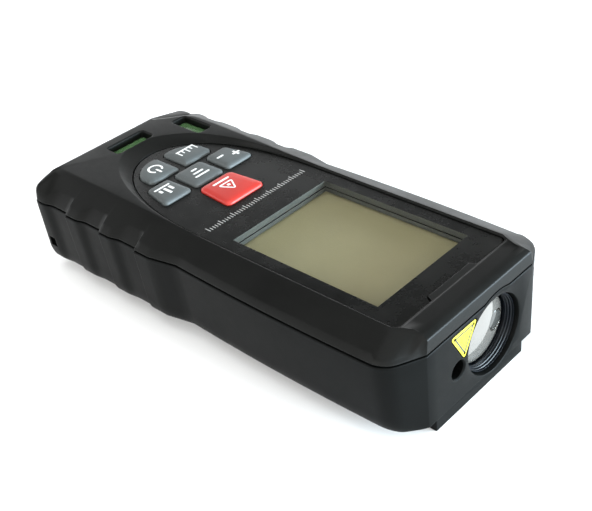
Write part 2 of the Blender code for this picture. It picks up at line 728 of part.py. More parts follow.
def display():
    """Liquid crystal cell, its light guide, its tray and its contact strip."""
    glass_ys = (0.9, 47.0)
    bm = bmesh.new()
    add_box(bm, (-17.4, 17.4), glass_ys, (21.4, DISPLAY_TOP_Z))
    finish("lcd_glass", bm, "display_olive")
    bm = bmesh.new()
    add_box(bm, (-17.0, 17.0), (1.3, 46.6), (20.2, 21.1))
    finish("lcd_light_guide", bm, "white_plastic")
    bm = bmesh.new()
    add_box(bm, (-18.5, 18.5), (-0.2, 48.1), (BOARD_Z[1] + GAP, 22.3))
    tray = finish("lcd_tray", bm, "white_plastic")

    def inside(bm):
        add_box(bm, (-17.7, 17.7), (0.6, 47.3), (19.9, 23.0))

    cut(tray, helper("tray_inside", inside))
    bm = bmesh.new()
    add_box(bm, (-14.0, 14.0), (-1.5, -0.5), (BOARD_Z[1] + GAP, 22.3))
    finish("lcd_contact_strip", bm, "rubber")


def boards():
    """Main circuit board under the keys, its parts and the detector board."""
    bm = bmesh.new()
    corners = [(-20.0, -42.5), (20.0, -42.5), (20.0, 17.0), (-20.0, 17.0)]
    add_prism(bm, rounded(corners, 2.0), BOARD_Z[0], BOARD_Z[1])
    finish("main_board", bm, "board_green")
    bm = bmesh.new()
    add_box(bm, (-11.0, -2.0), (0.5, 9.5), (BOARD_Z[0] - GAP - 1.2, BOARD_Z[0] - GAP))
    finish("processor_chip", bm, "chip_black")
    bm = bmesh.new()
    add_turned(bm, [(BOARD_Z[0] - GAP - 2.4, 4.4), (BOARD_Z[0] - GAP, 4.4)], "z", (8.0, 4.5), 20)
    finish("buzzer", bm, "chip_black", smooth=True)
    bm = bmesh.new()
    add_box(bm, (-13.0, 12.0), (14.6, 15.8), (5.4, 16.9))
    finish("detector_board", bm, "board_green")
    bm = bmesh.new()
    add_turned(bm, [(15.8 + GAP, 2.7), (16.7, 2.7), (16.7, 2.3), (18.4, 2.3)], "y", (LENS_X, LENS_Z), 16)
    finish("light_detector", bm, "steel", smooth=True)


# --------------------------------------------------------------------- optics

def optics():
    """Lens, its barrel and ring, the laser module and the block that aligns them."""
    centre = (LENS_X, LENS_Z)
    rear, front = OPTICS_Y
    bm = bmesh.new()
    add_turned(bm, [(rear, 4.4), (front - 2.5, 9.2), (front, 9.2)], "y", centre, 32)
    block = finish("optics_block", bm, "aluminium", smooth=True)

    def plate(bm):
        add_box(bm, (-14.0, 12.8), (front - 2.5, front), (2.2, OPTICS_TOP_Z + 1.0))

    def laser_boss(bm):
        add_turned(bm, [(rear + 6.0, 4.1), (front - 1.0, 4.1)], "y", (LASER_X, LASER_Z), 20)

    def base(bm):
        add_box(bm, (-13.6, 12.0), (rear + 1.0, front - 1.0), (2.2, 4.6))

    def web(bm):
        add_box(bm, (-6.3, -3.9), (rear + 2.0, front - 2.0), (3.6, 8.0))

    def laser_web(bm):
        add_box(bm, (6.7, 9.1), (rear + 8.0, front - 2.0), (3.6, 8.4))

    def cone(bm):
        add_turned(bm, [(rear - 1.0, 3.0), (front + 1.0, 7.3)], "y", centre, 32)

    def top(bm):
        add_box(bm, (-20.0, 20.0), (rear - 2.0, front + 2.0), (OPTICS_TOP_Z, OPTICS_TOP_Z + 9.0))

    def laser_hole(bm):
        add_turned(bm, [(rear, 3.2), (front + 1.0, 3.2)], "y", (LASER_X, LASER_Z), 20)

    join(block, helper("optics_plate", plate))
    join(block, helper("optics_laser_boss", laser_boss))
    join(block, helper("optics_base", base))
    join(block, helper("optics_web", web))
    join(block, helper("optics_laser_web", laser_web))
    cut(block, helper("optics_top", top))
    cut(block, helper("optics_cone", cone))
    cut(block, helper("optics_laser_hole", laser_hole))

    bm = bmesh.new()
    barrel_front = NOSE_INSIDE_Y - GAP
    add_turned(bm, [(front + GAP, BARREL_RADIUS), (barrel_front, BARREL_RADIUS)], "y", centre, 40)
    barrel = finish("lens_barrel", bm, "barrel_dark", smooth=True)

    def barrel_bore(bm):
        profile = [(front, 7.4), (50.7, 7.4), (50.7, LENS_RADIUS + GAP),
                   (barrel_front + 1.0, LENS_RADIUS + GAP)]
        add_turned(bm, profile, "y", centre, 40)

    cut(barrel, helper("barrel_bore", barrel_bore))
    bm = bmesh.new()
    profile = [(51.0, LENS_RADIUS), (54.9, LENS_RADIUS), (55.4, 6.8), (55.8, 4.6), (56.0, 2.0)]
    add_turned(bm, profile, "y", centre, 32)
    lens = finish("receive_lens", bm, "lens_glass", smooth=True)

    def near_seat(bm):
        add_turned(bm, [(53.4, 2.9), (57.0, 2.9)], "y", (LENS_X - 5.1, LENS_Z - 0.8), 16)

    cut(lens, helper("near_field_seat", near_seat))
    bm = bmesh.new()
    add_turned(bm, [(53.7, 2.3), (55.3, 2.3), (55.6, 1.9)], "y", (LENS_X - 5.1, LENS_Z - 0.8), 16)
    finish("near_field_lens", bm, "lens_glass", smooth=True)

    bm = bmesh.new()
    ring_outer = BORE_RADIUS - GAP
    add_turned(bm, [(barrel_front + GAP, ring_outer), (FRONT_Y - 1.2, ring_outer)], "y", centre, 40)
    ring = finish("lens_ring", bm, "barrel_dark", smooth=True)

    def ring_bore(bm):
        add_turned(bm, [(55.0, 8.3), (59.5, 8.3)], "y", centre, 40)

    cut(ring, helper("ring_bore", ring_bore))

    bm = bmesh.new()
    profile = [(27.0, 2.2), (29.0, 2.2), (29.0, 2.9), (front - 0.5, 2.9)]
    add_turned(bm, profile, "y", (LASER_X, LASER_Z), 20)
    finish("laser_module", bm, "brass", smooth=True)
    bm = bmesh.new()
    add_turned(bm, [(NOSE_INSIDE_Y - 2.0, 2.9), (NOSE_INSIDE_Y - GAP, 2.9)], "y", (LASER_X, LASER_Z), 20)
    finish("laser_window", bm, "barrel_dark", smooth=True)


# ------------------------------------------------------------------- batteries

def batteries():
    """Two cells, their contacts, and the hinged cover under them."""
    axis_z = COVER_Z[1] + GAP + CELL_RADIUS
    tail = CELL_Y - CELL_LENGTH / 2
    head = CELL_Y + CELL_LENGTH / 2
    for name, x in (("battery_left", -CELL_X), ("battery_right", CELL_X)):
        bm = bmesh.new()
        profile = [(tail, CELL_RADIUS - 0.4), (tail + 0.4, CELL_RADIUS - 0.05),
                   (head - 1.4, CELL_RADIUS - 0.05), (head - 1.0, CELL_RADIUS - 0.6),
                   (head - 1.0, 1.9), (head, 1.8)]
        add_turned(bm, profile, "y", (x, axis_z), 24)
        finish(name, bm, "cell_wrap", smooth=True)
        bm = bmesh.new()
        add_box(bm, (x - 4.2, x + 4.2), (BAY_Y[0] + GAP, BAY_Y[0] + GAP + 0.4), (3.4, 11.6))
        finish(name.replace("battery", "rear_contact"), bm, "steel")
        contact_spring(name.replace("battery", "contact_spring"), x, axis_z, BAY_Y[0] + 1.0, tail - GAP)
    bm = bmesh.new()
    add_box(bm, (-9.8, 9.8), (BAY_Y[1] - GAP - 0.4, BAY_Y[1] - GAP), (3.4, 11.6))
    finish("front_contact", bm, "steel")
    battery_cover()


def contact_spring(name, x, z, start, end):
    """Conical coil spring between the rear contact and a cell."""
    turns = 2.5
    steps = 30
    wire = 0.25
    curve = bpy.data.curves.new(name, "CURVE")
    curve.dimensions = "3D"
    curve.bevel_depth = wire * MM
    curve.bevel_resolution = 1
    curve.use_fill_caps = True
    spline = curve.splines.new("POLY")
    spline.points.add(steps)
    for k in range(steps + 1):
        part = k / steps
        angle = 2 * math.pi * turns * part
        radius = 3.2 - 1.2 * part
        y = start + wire + (end - start - 2 * wire) * part
        point = (radius * math.cos(angle), y - start, radius * math.sin(angle))
        spline.points[k].co = (*[value * MM for value in point], 1.0)
    made = bpy.data.objects.new(name, curve)
    made.location = (x * MM, start * MM, z * MM)
    made.data.materials.append(material("steel"))
    bpy.context.collection.objects.link(made)


def battery_cover():
    """Cover in the pedestal; it tips open about its front edge."""
    bm = bmesh.new()
    rear, front = COVER_Y
    corners = [(-COVER_HALF, rear), (COVER_HALF, rear), (COVER_HALF, front), (-COVER_HALF, front)]
    add_prism(bm, rounded(corners, 1.2, 2), COVER_Z[0], COVER_Z[1])
    cover = finish("battery_cover", bm, "black_plastic", (0.0, COVER_Y[1], COVER_HINGE_Z))

    def thumb_recess(bm):
        add_turned(bm, [(COVER_Z[0] - 1.0, 4.0), (COVER_Z[0] + 0.6, 3.2)], "z", (0.0, COVER_Y[0] + 5.5), 20)

    def grip_grooves(bm):
        for k in range(3):
            y = COVER_Y[0] + 13.0 + 2.0 * k
            add_box(bm, (-6.0, 6.0), (y, y + 0.8), (COVER_Z[0] - 1.0, COVER_Z[0] + 0.4))

    cut(cover, helper("thumb_recess", thumb_recess))
    cut(cover, helper("grip_grooves", grip_grooves))


# -------------------------------------------------------- fasteners and levels

def screws():
    """Four cross-head screws that reach from the rear into the front housing."""
    for index, place in enumerate(screw_places(), 1):
        bm = bmesh.new()
        head = SCREW_SEAT_Z - GAP
        profile = [(head - 1.8, 1.3), (head - 1.3, 1.75), (head, 1.75), (head, 0.95),
                   (SCREW_TIP_Z - 0.5, 0.95), (SCREW_TIP_Z, 0.5)]
        add_turned(bm, profile, "z", place, 16)
        screw = finish("housing_screw_%d" % index, bm, "steel", smooth=True)

        def cross(bm):
            x, y = place
            add_box(bm, (x - 1.0, x + 1.0), (y - 0.2, y + 0.2), (head - 3.0, head - 1.1))

        def other_cross(bm):
            x, y = place
            add_box(bm, (x - 0.2, x + 0.2), (y - 1.0, y + 1.0), (head - 3.0, head - 1.1))

        cut(screw, helper("cross_slot_%d" % index, cross))
        cut(screw, helper("other_slot_%d" % index, other_cross))


def vial(name, axis, centre, half):
    """Spirit level: open tube, plug, green fluid with a channel, and a bubble."""
    along = centre[0] if axis == "x" else centre[1]
    across = (centre[1], VIAL_AXIS_Z) if axis == "x" else (centre[0], VIAL_AXIS_Z)
    bm = bmesh.new()
    add_turned(bm, [(along - half, VIAL_RADIUS), (along + half, VIAL_RADIUS)], axis, across, 20)
    tube = finish(name + "_tube", bm, "clear_plastic", smooth=True)

    def bore(bm):
        add_turned(bm, [(along - half + 0.8, VIAL_BORE), (along + half + 1.0, VIAL_BORE)], axis, across, 20)

    cut(tube, helper(name + "_bore", bore))
    bm = bmesh.new()
    add_turned(bm, [(along + half - 1.2, VIAL_FLUID), (along + half, VIAL_FLUID)], axis, across, 16)
    finish(name + "_plug", bm, "dark_plastic", smooth=True)

    fluid_half = half - 1.5
    bm = bmesh.new()
    low = along - fluid_half + 0.4
    add_turned(bm, [(low - 0.8, VIAL_FLUID), (along + fluid_half, VIAL_FLUID)], axis, across, 16)
    fluid = finish(name + "_fluid", bm, "vial_green", smooth=True)

    bubble_half = 1.8
    reach = bubble_half + BUBBLE_TRAVEL / 2 + 0.4

    def channel(bm):
        ends = (along - reach, along + reach)
        sides = (across[0] - 1.05, across[0] + 1.05)
        zs = (VIAL_AXIS_Z + 0.3, VIAL_AXIS_Z + 3.0)
        if axis == "x":
            add_box(bm, ends, sides, zs)
        else:
            add_box(bm, sides, ends, zs)

    cut(fluid, helper(name + "_channel", channel))
    bm = bmesh.new()
    high = VIAL_AXIS_Z + 1.15
    profile = [(along - bubble_half, 0.25), (along - bubble_half + 0.5, 0.5),
               (along + bubble_half - 0.5, 0.5), (along + bubble_half, 0.25)]
    add_turned(bm, profile, axis, (across[0], high), 10)
    origin = (along, across[0], high) if axis == "x" else (across[0], along, high)
    finish(name + "_bubble", bm, "clear_plastic", origin, smooth=True)


def label_outline(growth):
    """Triangle on the laser end, point down, as (x, z) pairs."""
    corners = [(LABEL_X - LABEL_HALF, LABEL_TOP_Z), (LABEL_X + LABEL_HALF, LABEL_TOP_Z),
               (LABEL_X, LABEL_TOP_Z - LABEL_HALF * math.sqrt(3))]
    return grown(rounded(corners, 0.5, 2), growth)


def label():
    """Plain triangular sticker in its shallow seat on the laser end."""
    bm = bmesh.new()
    back = FRONT_Y - LABEL_SEAT + GAP
    loft(bm, [[(x, y, z) for x, z in label_outline(0.0)] for y in (back, FRONT_Y - 0.03)])
    finish("nose_label", bm, "label_yellow")


def clear_scene():
    """Start from an empty scene."""
    for item in list(bpy.data.objects):
        bpy.data.objects.remove(item, do_unlink=True)


def main():
    """Build every piece."""
    clear_scene()
    rear_housing()
    front_housing()
    panel_and_window()
    keys_and_domes()
    display()
    boards()
    optics()
    batteries()
    screws()
    vial("cross_vial", "x", CROSS_VIAL, 7.6)
    vial("long_vial", "y", LONG_VIAL, 7.4)
    label()


main()
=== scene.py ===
"""Looks of the laser distance meter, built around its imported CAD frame.

Shapes are worked out in millimetres in the frame's own axes: +X is the user's
right, +Y points out of the laser end and +Z out of the display.
"""
import math

import bmesh
import bpy
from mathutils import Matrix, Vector


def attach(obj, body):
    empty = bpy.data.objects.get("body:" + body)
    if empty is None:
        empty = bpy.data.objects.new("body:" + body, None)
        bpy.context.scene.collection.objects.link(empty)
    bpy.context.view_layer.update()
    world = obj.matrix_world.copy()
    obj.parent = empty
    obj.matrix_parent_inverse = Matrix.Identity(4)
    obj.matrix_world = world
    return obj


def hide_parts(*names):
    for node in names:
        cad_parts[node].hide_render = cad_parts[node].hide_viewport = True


MM = 0.001
GAP = 0.3            # room between neighbouring pieces
FLUSH = 0.02         # how far a face stays behind its neighbour
WELD = 0.002         # points closer than this are merged after a Boolean
SHARP_ANGLE = 32.0   # degrees; sharper edges are shaded as edges
ROUND_SEGMENTS = 96
LONGEST_CURVE = 0.45  # most of a side a softened corner takes
CUT, JOIN = "DIFFERENCE", "UNION"

# Body
FRONT_Y, REAR_Y = 59.0, -59.0
PARTING_Z = 21.7
FLOOR_Z = 3.0
WALL = 2.4
CAVITY_STEPS = ((3.9, 5.0), (3.9, 12.0), (2.4, 12.0), (2.4, PARTING_Z + 1.0))  # inset, height
NOSE_HALF = 17.9
CHAMFER_Y = 51.2
CHAMFER_SLOPE = 26.0
SIDE_HALF = 27.05
SIDE_BOW = 0.6
WAIST_Y = -4.7
REAR_RADIUS = 4.0
REAR_LOW_RADIUS = 2.6
GRIP_HALF = 28.1
RIB_DEPTH = 0.8
RIB_PITCH = 13.3
FIRST_CREST_Y = -12.5
FIRST_STEP_Y = -17.5
STEP_RUN = 0.5
VALLEY_END = 6.0
RAMP_END = 9.8
RIB_COUNT = 3
NOSE_PARTS = 6       # how the outline is divided into stations
CHAMFER_PARTS = (0.04, 0.24, 0.44, 0.7, 1.0)
BEND_ANGLES = (37, 48, 59, 70, 80)
SIDE_KNOTS = (40.0, 30.0, 20.0, 10.0, 2.0)
LONG_RUN = 9.0
CORNER_PARTS = 8
REAR_XS = (17.5, 12.0, 6.0, 0.0)
LOW_RING_Z = (FLOOR_Z, 3.3, 4.4, 6.4)
SIDE_INSETS = (4.4, 2.8, 1.7, 1.1)
END_INSETS = (3.0, 1.5, 0.5, 0.0)
RIB_FADE = 0.9
PEDESTAL_HALF = 15.7
PEDESTAL_REAR_Y = -56.5
FAR_CORNER_GAIN = 1.2
CORNER_FACET = 2.8   # width of the small facet where the chamfer starts
EDGE_ROUND = 0.16    # small round on the moulded edges along the parting line

# Display panel, window and the rim round them
PANEL_HALF = 18.7
PANEL_FRONT_Y = 52.4
PANEL_REAR = 43.4
PANEL_POWER = 2.7
PANEL_TOP_Z = 25.8
PANEL_THICK = 1.5
PANEL_PARTS = 30
PANEL_CORNER = 1.2
PANEL_BREAK = 0.15   # broken edge round the panel's top
TONGUE_HALF = 7.2
TONGUE_DEPTH = 1.5
WINDOW_HALF = 15.35
WINDOW_YS = (3.5, 45.0)
WINDOW_WALL_Z = 22.0  # upright faces above this height line the window
UPRIGHT = 0.1        # largest upward share of an upright face's normal
CRESCENT_HALF = 19.3
CRESCENT_REAR = 49.0
RIDGE_HALF = 20.2
SEAT_Z = PANEL_TOP_Z - PANEL_THICK - GAP
CEILING_Z = 22.9
RIM_Z = 26.25
CROWN_Z = 27.3
RIM_RISE_Y = (6.0, -42.0)
STEP_IN = (0.25, 0.1)  # front housing's step in from the rear one
LIP_DROP = 0.35        # from the rim down to its outer edge
RIDGE_WIDE = 0.8
REAR_LIP = 1.0         # how far the rim's edge stays off the rear end
RECESS_ROOM = 0.5
RECESS_Z = PANEL_TOP_Z + 0.15
NOSE_RIM_HALF = 17.7

# Keys and printed marks
KEY_TOP_Z = 26.7
KEY_ROUND = 0.85     # reach of the rounded shoulder of a cap
KEY_RISE = 0.72
KEY_SHARP = 50.0
FLANGE = 0.4
FLANGE_Z = (22.0, 22.55)
PLUNGER_Z = 20.2
PLUNGER_RADIUS = 1.7
KEY_ROW_1 = (-19.0, -7.65)
KEY_ROW_2 = (-29.3, -20.4)
KEY_ROW_3 = (-40.7, -30.85)
INK = 0.03           # how far the symbols on the keys stand proud
PRINT_GAP = 0.001    # clearance under a printed mark
SCALE_MARKS = 41
SCALE_START = -15.8
SCALE_PITCH = 0.79
SCALE_HALF = 0.11
SCALE_Y = -3.5
SCALE_LONG, SCALE_SHORT = 1.75, 1.15

# Laser end
LENS_X, LENS_Z = -5.1, 11.75
BORE_RADIUS = 9.3
BARREL_RADIUS = 9.8
BARREL_REAR_Y = 48.4
LENS_RADIUS = 8.3
LENS_EDGE_Y = 54.8
LENS_BULGE = 1.2
LENS_FLAT = 0.4      # radius left flat in the middle of the lens
LENS_SHARP = 60.0
DOME_STEPS = 12
RING_PROFILE = ((55.8, 9.0), (57.6, 9.0), (57.8, 8.9), (57.8, 8.82), (57.3, 8.78), (57.2, 8.62),
                (56.7, 8.58), (56.6, 8.42), (56.1, 8.4), (56.0, 8.3), (55.8, 8.3))
LASER_X, LASER_Z = 7.9, 11.1
APERTURE_RADIUS = 2.15
NEAR_LENS = (LENS_X - 5.1, LENS_Z - 0.8)
HUMP_X = LENS_X - 0.8
HUMP_HALF = 4.6
HUMP_RISE = 0.9
NOSE_INSIDE_Y = 55.8
LABEL_X = 5.75
LABEL_HALF = 4.45
LABEL_TOP_Z = 20.45
LABEL_SEAT = 0.45

# Underside and rear end
BAY_Y = (-53.5, -4.6)
BAY_HALF = 11.4
BAY_TOP_Z = 13.2
BAY_WALL = 1.2
COVER_HALF = 13.2
COVER_Y = (-54.6, -3.4)
COVER_Z = (0.3, 1.8)
COVER_BREAK = 0.2
REAR_SCREW = (21.1, -50.0)
FRONT_SCREW = (18.2, 51.2)
SCREW_SEAT_Z = 12.0
SCREW_BORE = 1.3     # radius
SCREW_TIP_Z = 23.0
CROSS_VIAL = (0.0, -51.3)
CROSS_SLOT = (5.9, 2.4)
LONG_VIAL = (-15.8, -44.7)
LONG_SLOT = (2.2, 5.45)
VIAL_ROOMS = (((-19.0, 12.0), (-55.2, -47.4)), ((-19.0, -12.6), (-52.6, -36.8)))
VIAL_ROOF_Z = 25.3
VIAL_WINDOW_Z = (25.02, 25.35, 25.65)
CORD_SLOT = [(30.0, -56.0), (30.0, -53.6), (20.8, -53.6), (20.8, -60.0), (23.4, -60.0), (23.4, -56.0)]
CORD_SLOT_Z = (8.2, 11.0)

# Camera and light
CAMERA_PLACE = (0.13548, 0.15226, 0.15063)
CAMERA_TURN = (55.622, 5.368, 132.432)
CAMERA_LENS = 62.19
CAMERA_SHIFT = (-0.022746, -0.011189)

FLOOR_HALF = 1500.0
# Brightness of the surroundings by height, away from the camera and on its side
FAR_LEVELS = ((0.0, 1.3), (0.18, 1.2), (0.32, 0.6), (0.45, 0.12), (0.60, 0.02), (0.82, 0.03),
              (1.0, 1.0))
NEAR_LEVELS = ((0.0, 0.5), (0.2, 1.1), (0.45, 1.2), (0.60, 0.4), (0.78, 0.10), (1.0, 1.0))
NEAR_SIDE = (0.66, 0.75, 0.0)
NEAR_SHARE = (-0.15, 0.35)
WORLD_STRENGTH = 3.5
FRONT_PLACE, FRONT_AIM = (-0.45, 0.9, 0.12), (0, 0.05, 0.01)
FRONT_SIZE = (1.0, 0.24)
FRONT_POWER = 52.0
FRONT_TINT = (0.70, 0.88, 1.0)

# Edge colour of the black plastics: partly wear, partly a painted edge highlight.
WORN_AND_HIGHLIT_BLACK = (0.02, 0.022, 0.02)

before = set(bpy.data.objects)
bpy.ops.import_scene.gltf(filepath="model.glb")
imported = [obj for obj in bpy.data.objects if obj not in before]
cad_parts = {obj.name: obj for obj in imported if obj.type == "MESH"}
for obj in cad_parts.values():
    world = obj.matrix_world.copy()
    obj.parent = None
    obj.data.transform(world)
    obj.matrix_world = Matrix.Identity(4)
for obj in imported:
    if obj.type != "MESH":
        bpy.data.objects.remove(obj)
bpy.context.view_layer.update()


# ---- material nodes

def put(tree, node, inputs):
    """Set a node's inputs; each is a value or another node's output."""
    for key, value in inputs.items():
        if isinstance(value, bpy.types.NodeSocket):
            tree.links.new(value, node.inputs[key])
        else:
            node.inputs[key].default_value = value


def add(tree, kind, inputs=None, **settings):
    """Node of one kind with its settings and inputs."""
    made = tree.nodes.new(kind)
    for key, value in settings.items():
        setattr(made, key, value)
    put(tree, made, inputs or {})
    return made


def blend_colour(tree, factor, first, second, mode="MIX"):
    """Colour mix of two colours or sockets."""
    def opaque(colour):
        return colour if isinstance(colour, bpy.types.NodeSocket) else (*colour, 1.0)

    return add(tree, "ShaderNodeMix", data_type="RGBA", blend_type=mode,
               inputs={0: factor, 6: opaque(first), 7: opaque(second)}).outputs[2]


def spread(tree, value, low, high, start=0.3, end=0.7):
    """Map a value that runs from start to end onto a range."""
    return add(tree, "ShaderNodeMapRange", {
        "Value": value, "From Min": start, "From Max": end, "To Min": low, "To Max": high}).outputs[0]


def noise(tree, place, per_mm, detail=3.0, rough=0.55):
    """Noise with a given number of cells per millimetre."""
    return add(tree, "ShaderNodeTexNoise", {
        "Vector": place, "Scale": per_mm, "Detail": detail, "Roughness": rough}).outputs["Fac"]


def new_tree(name):
    """Empty material tree with an output, a shader and coordinates in millimetres."""
    made = bpy.data.materials.new(name)
    made.use_nodes = True
    tree = made.node_tree
    shader = tree.nodes["Principled BSDF"]
    coords = add(tree, "ShaderNodeTexCoord")
    place = add(tree, "ShaderNodeVectorMath", {0: coords.outputs["Object"], "Scale": 1.0 / MM},
                operation="SCALE").outputs[0]
    return made, tree, shader, place


def worn_and_highlit_edges(tree, radius):
    """Normal rounded over edges, and a mask that is 1 on them; the mask marks where edges are lightened,
    partly as wear and partly as a painted edge highlight.
    """
    soft = add(tree, "ShaderNodeBevel", {"Radius": radius * MM}, samples=6).outputs[0]
    plain = add(tree, "ShaderNodeNewGeometry").outputs["Normal"]
    match = add(tree, "ShaderNodeVectorMath", {0: soft, 1: plain}, operation="DOT_PRODUCT")
    return soft, spread(tree, match.outputs["Value"], 0.0, 1.0, 0.995, 0.86)


def moulded(name, colour, rough, grain=0.5, depth=0.012, wear_and_highlight=None, wear_and_highlight_share=0.5, mottle=0.22,
            rough_spread=0.05, edge=0.25, metal=0.0, coat=0.0, coat_rough=0.1, speckle=0.12,
            specular=0.5, stretch=(1.0, 1.0, 1.0)):
    """Moulded, painted or rolled material: mottled colour, fine grain and lighter edges, partly worn and
    partly a painted edge highlight.

    Grain, bump depth and edge radius are in millimetres; the edge colour argument is laid on every edge,
    partly as wear and partly as a painted edge highlight.
    """
    made, tree, shader, place = new_tree(name)
    soft, mask = worn_and_highlit_edges(tree, edge)
    large = noise(tree, place, 0.07, 4.0)
    medium = noise(tree, place, 0.6, 3.0)
    along = add(tree, "ShaderNodeVectorMath", {0: place, 1: stretch}, operation="MULTIPLY").outputs[0]
    fine = noise(tree, along, 1.0 / grain, 2.0, 0.6)
    darker, lighter = ([min(c * (1 + change), 1.0) for c in colour] for change in (-mottle, mottle))
    base = blend_colour(tree, spread(tree, large, 0.0, 1.0), darker, lighter)
    dull = (1 - speckle,) * 3
    base = blend_colour(tree, spread(tree, fine, 0.0, 1.0, 0.35, 0.65), base, dull, "MULTIPLY")
    # Lighter colour on every edge, convex and hollow alike: partly wear, partly a painted edge
    # highlight.
    if wear_and_highlight:
        share = add(tree, "ShaderNodeMath", {0: mask, 1: spread(tree, medium, 0.0, wear_and_highlight_share)},
                    operation="MULTIPLY").outputs[0]
        base = blend_colour(tree, share, base, wear_and_highlight)
    uneven = add(tree, "ShaderNodeMath",
                 {0: spread(tree, large, rough - rough_spread, rough + rough_spread),
                  1: spread(tree, medium, -0.4 * rough_spread, 0.4 * rough_spread)}, operation="ADD")
    bump = add(tree, "ShaderNodeBump", {
        "Strength": 0.6, "Distance": depth * MM, "Height": fine, "Normal": soft})
    put(tree, shader, {
        "Base Color": base, "Roughness": uneven.outputs[0], "Normal": bump.outputs[0], "Metallic": metal,
        "Coat Weight": coat, "Coat Roughness": coat_rough, "Specular IOR Level": specular})
    return made


def circuit_board():
    """Green solder mask with paler copper tracks under it."""
    made, tree, shader, place = new_tree("board_mask")
    cells = add(tree, "ShaderNodeTexBrick", {
        "Vector": place, "Scale": 0.55, "Mortar Size": 0.06, "Color1": (0.016, 0.13, 0.05, 1),
        "Color2": (0.02, 0.16, 0.06, 1), "Mortar": (0.06, 0.30, 0.12, 1)})
    cloud = noise(tree, place, 0.3)
    base = blend_colour(tree, spread(tree, cloud, 0.0, 0.35), cells.outputs["Color"],
                        (0.01, 0.09, 0.035))
    bump = add(tree, "ShaderNodeBump", {
        "Strength": 0.5, "Distance": 0.03 * MM, "Height": cells.outputs["Fac"]})
    put(tree, shader, {
        "Base Color": base, "Roughness": spread(tree, cloud, 0.32, 0.48), "Normal": bump.outputs[0]})
    return made


def clear(name, colour, alpha, rough, coat=0.0):
    """Clear piece: a thin film of colour with its own gloss."""
    made = bpy.data.materials.new(name)
    made.use_nodes = True
    tree = made.node_tree
    put(tree, tree.nodes["Principled BSDF"], {
        "Base Color": (*colour, 1), "Roughness": rough, "Alpha": alpha, "Coat Weight": coat})
    return made


black = moulded("black_abs", (0.0022, 0.0025, 0.0024), 0.42, 0.42, 0.010, WORN_AND_HIGHLIT_BLACK, 0.5,
    specular=0.06)
face_black = moulded("face_abs", (0.0016, 0.0018, 0.0014), 0.50, 0.42, 0.010, WORN_AND_HIGHLIT_BLACK, 0.5,
    specular=0.15)
lining = moulded("window_lining", (0.075, 0.08, 0.07), 0.5, 0.5, 0.006, mottle=0.15, specular=0.3)
panel_ink = moulded("panel_ink", (0.0018, 0.0020, 0.0016), 0.27, 0.9, 0.002, (0.02, 0.02, 0.02), 0.3,
    edge=0.05, speckle=0.05, specular=0.28)
window_clear = clear("window_clear", (0.012, 0.012, 0.011), 0.14, 0.12)
lcd = moulded("lcd_olive", (0.33, 0.305, 0.168), 0.42, 0.35, 0.003, mottle=0.035, speckle=0.05)
white = moulded("white_abs", (0.55, 0.55, 0.52), 0.5, 0.6, 0.01, mottle=0.06, speckle=0.05)
dark = moulded("dark_abs", (0.02, 0.02, 0.022), 0.6, 0.5, 0.01)
# Pale edge colour of the keys: wear and a painted highlight on their rims.
key_grey = moulded("key_grey_rubber", (0.058, 0.067, 0.068), 0.62, 0.32, 0.012, (0.30, 0.32, 0.33),
    0.55, mottle=0.10, edge=0.35)
key_red = moulded("key_red_rubber", (0.40, 0.017, 0.010), 0.50, 0.32, 0.010, (0.82, 0.16, 0.12),
    0.45, mottle=0.07, edge=0.35, speckle=0.06)
key_ink = moulded("key_ink", (0.74, 0.75, 0.74), 0.5, 0.25, 0.004, mottle=0.06, speckle=0.06)
scale_ink = moulded("scale_ink", (0.42, 0.42, 0.41), 0.35, 0.25, 0.003, mottle=0.12, speckle=0.08)
lens_glass = moulded("coated_glass", (0.205, 0.19, 0.172), 0.10, 1.2, 0.002, mottle=0.03, metal=0.55,
    coat=1.0, coat_rough=0.03, speckle=0.03, rough_spread=0.02)
near_glass = moulded("near_glass", (0.055, 0.054, 0.05), 0.12, 1.0, 0.002, mottle=0.08, metal=0.3,
    coat=1.0, coat_rough=0.03, rough_spread=0.02)
barrel = moulded("barrel_anodised", (0.0012, 0.0022, 0.004), 0.34, 0.3, 0.006, (0.02, 0.03, 0.045), 0.5,
    edge=0.12, specular=0.2)
aluminium = moulded("cast_aluminium", (0.60, 0.60, 0.62), 0.38, 0.4, 0.02, (0.8, 0.8, 0.82), 0.5,
    metal=1.0, mottle=0.08)
steel = moulded("plated_steel", (0.56, 0.56, 0.57), 0.30, 0.3, 0.006, (0.8, 0.8, 0.8), 0.5, metal=1.0,
    mottle=0.08, stretch=(1.0, 0.15, 1.0))
brass = moulded("turned_brass", (0.70, 0.52, 0.22), 0.34, 0.3, 0.006, (0.85, 0.7, 0.4), 0.5, metal=1.0,
    mottle=0.08)
cell_wrap = moulded("cell_sleeve", (0.50, 0.51, 0.53), 0.28, 0.8, 0.004, (0.7, 0.7, 0.7), 0.3,
    metal=0.6, mottle=0.1, coat=0.3)
chip = moulded("chip_epoxy", (0.014, 0.014, 0.015), 0.5, 0.3, 0.01, (0.06, 0.06, 0.06), 0.4)
rubber = moulded("contact_rubber", (0.02, 0.02, 0.02), 0.8, 0.3, 0.02, stretch=(4.0, 0.3, 0.3))
yellow = moulded("sticker_yellow", (0.36, 0.31, 0.004), 0.62, 0.4, 0.004, (0.9, 0.88, 0.5), 0.4,
    mottle=0.05, edge=0.12, speckle=0.04)
yellow_dark = moulded("sticker_border_ink", (0.045, 0.045, 0.03), 0.45, 0.4, 0.003, mottle=0.15)
board = circuit_board()
vial_clear = clear("vial_clear", (0.13, 0.27, 0.11), 0.42, 0.06, 1.0)
vial_green = moulded("vial_fluid", (0.42, 0.95, 0.30), 0.12, 0.9, 0.002, mottle=0.12, coat=0.6,
    speckle=0.04)
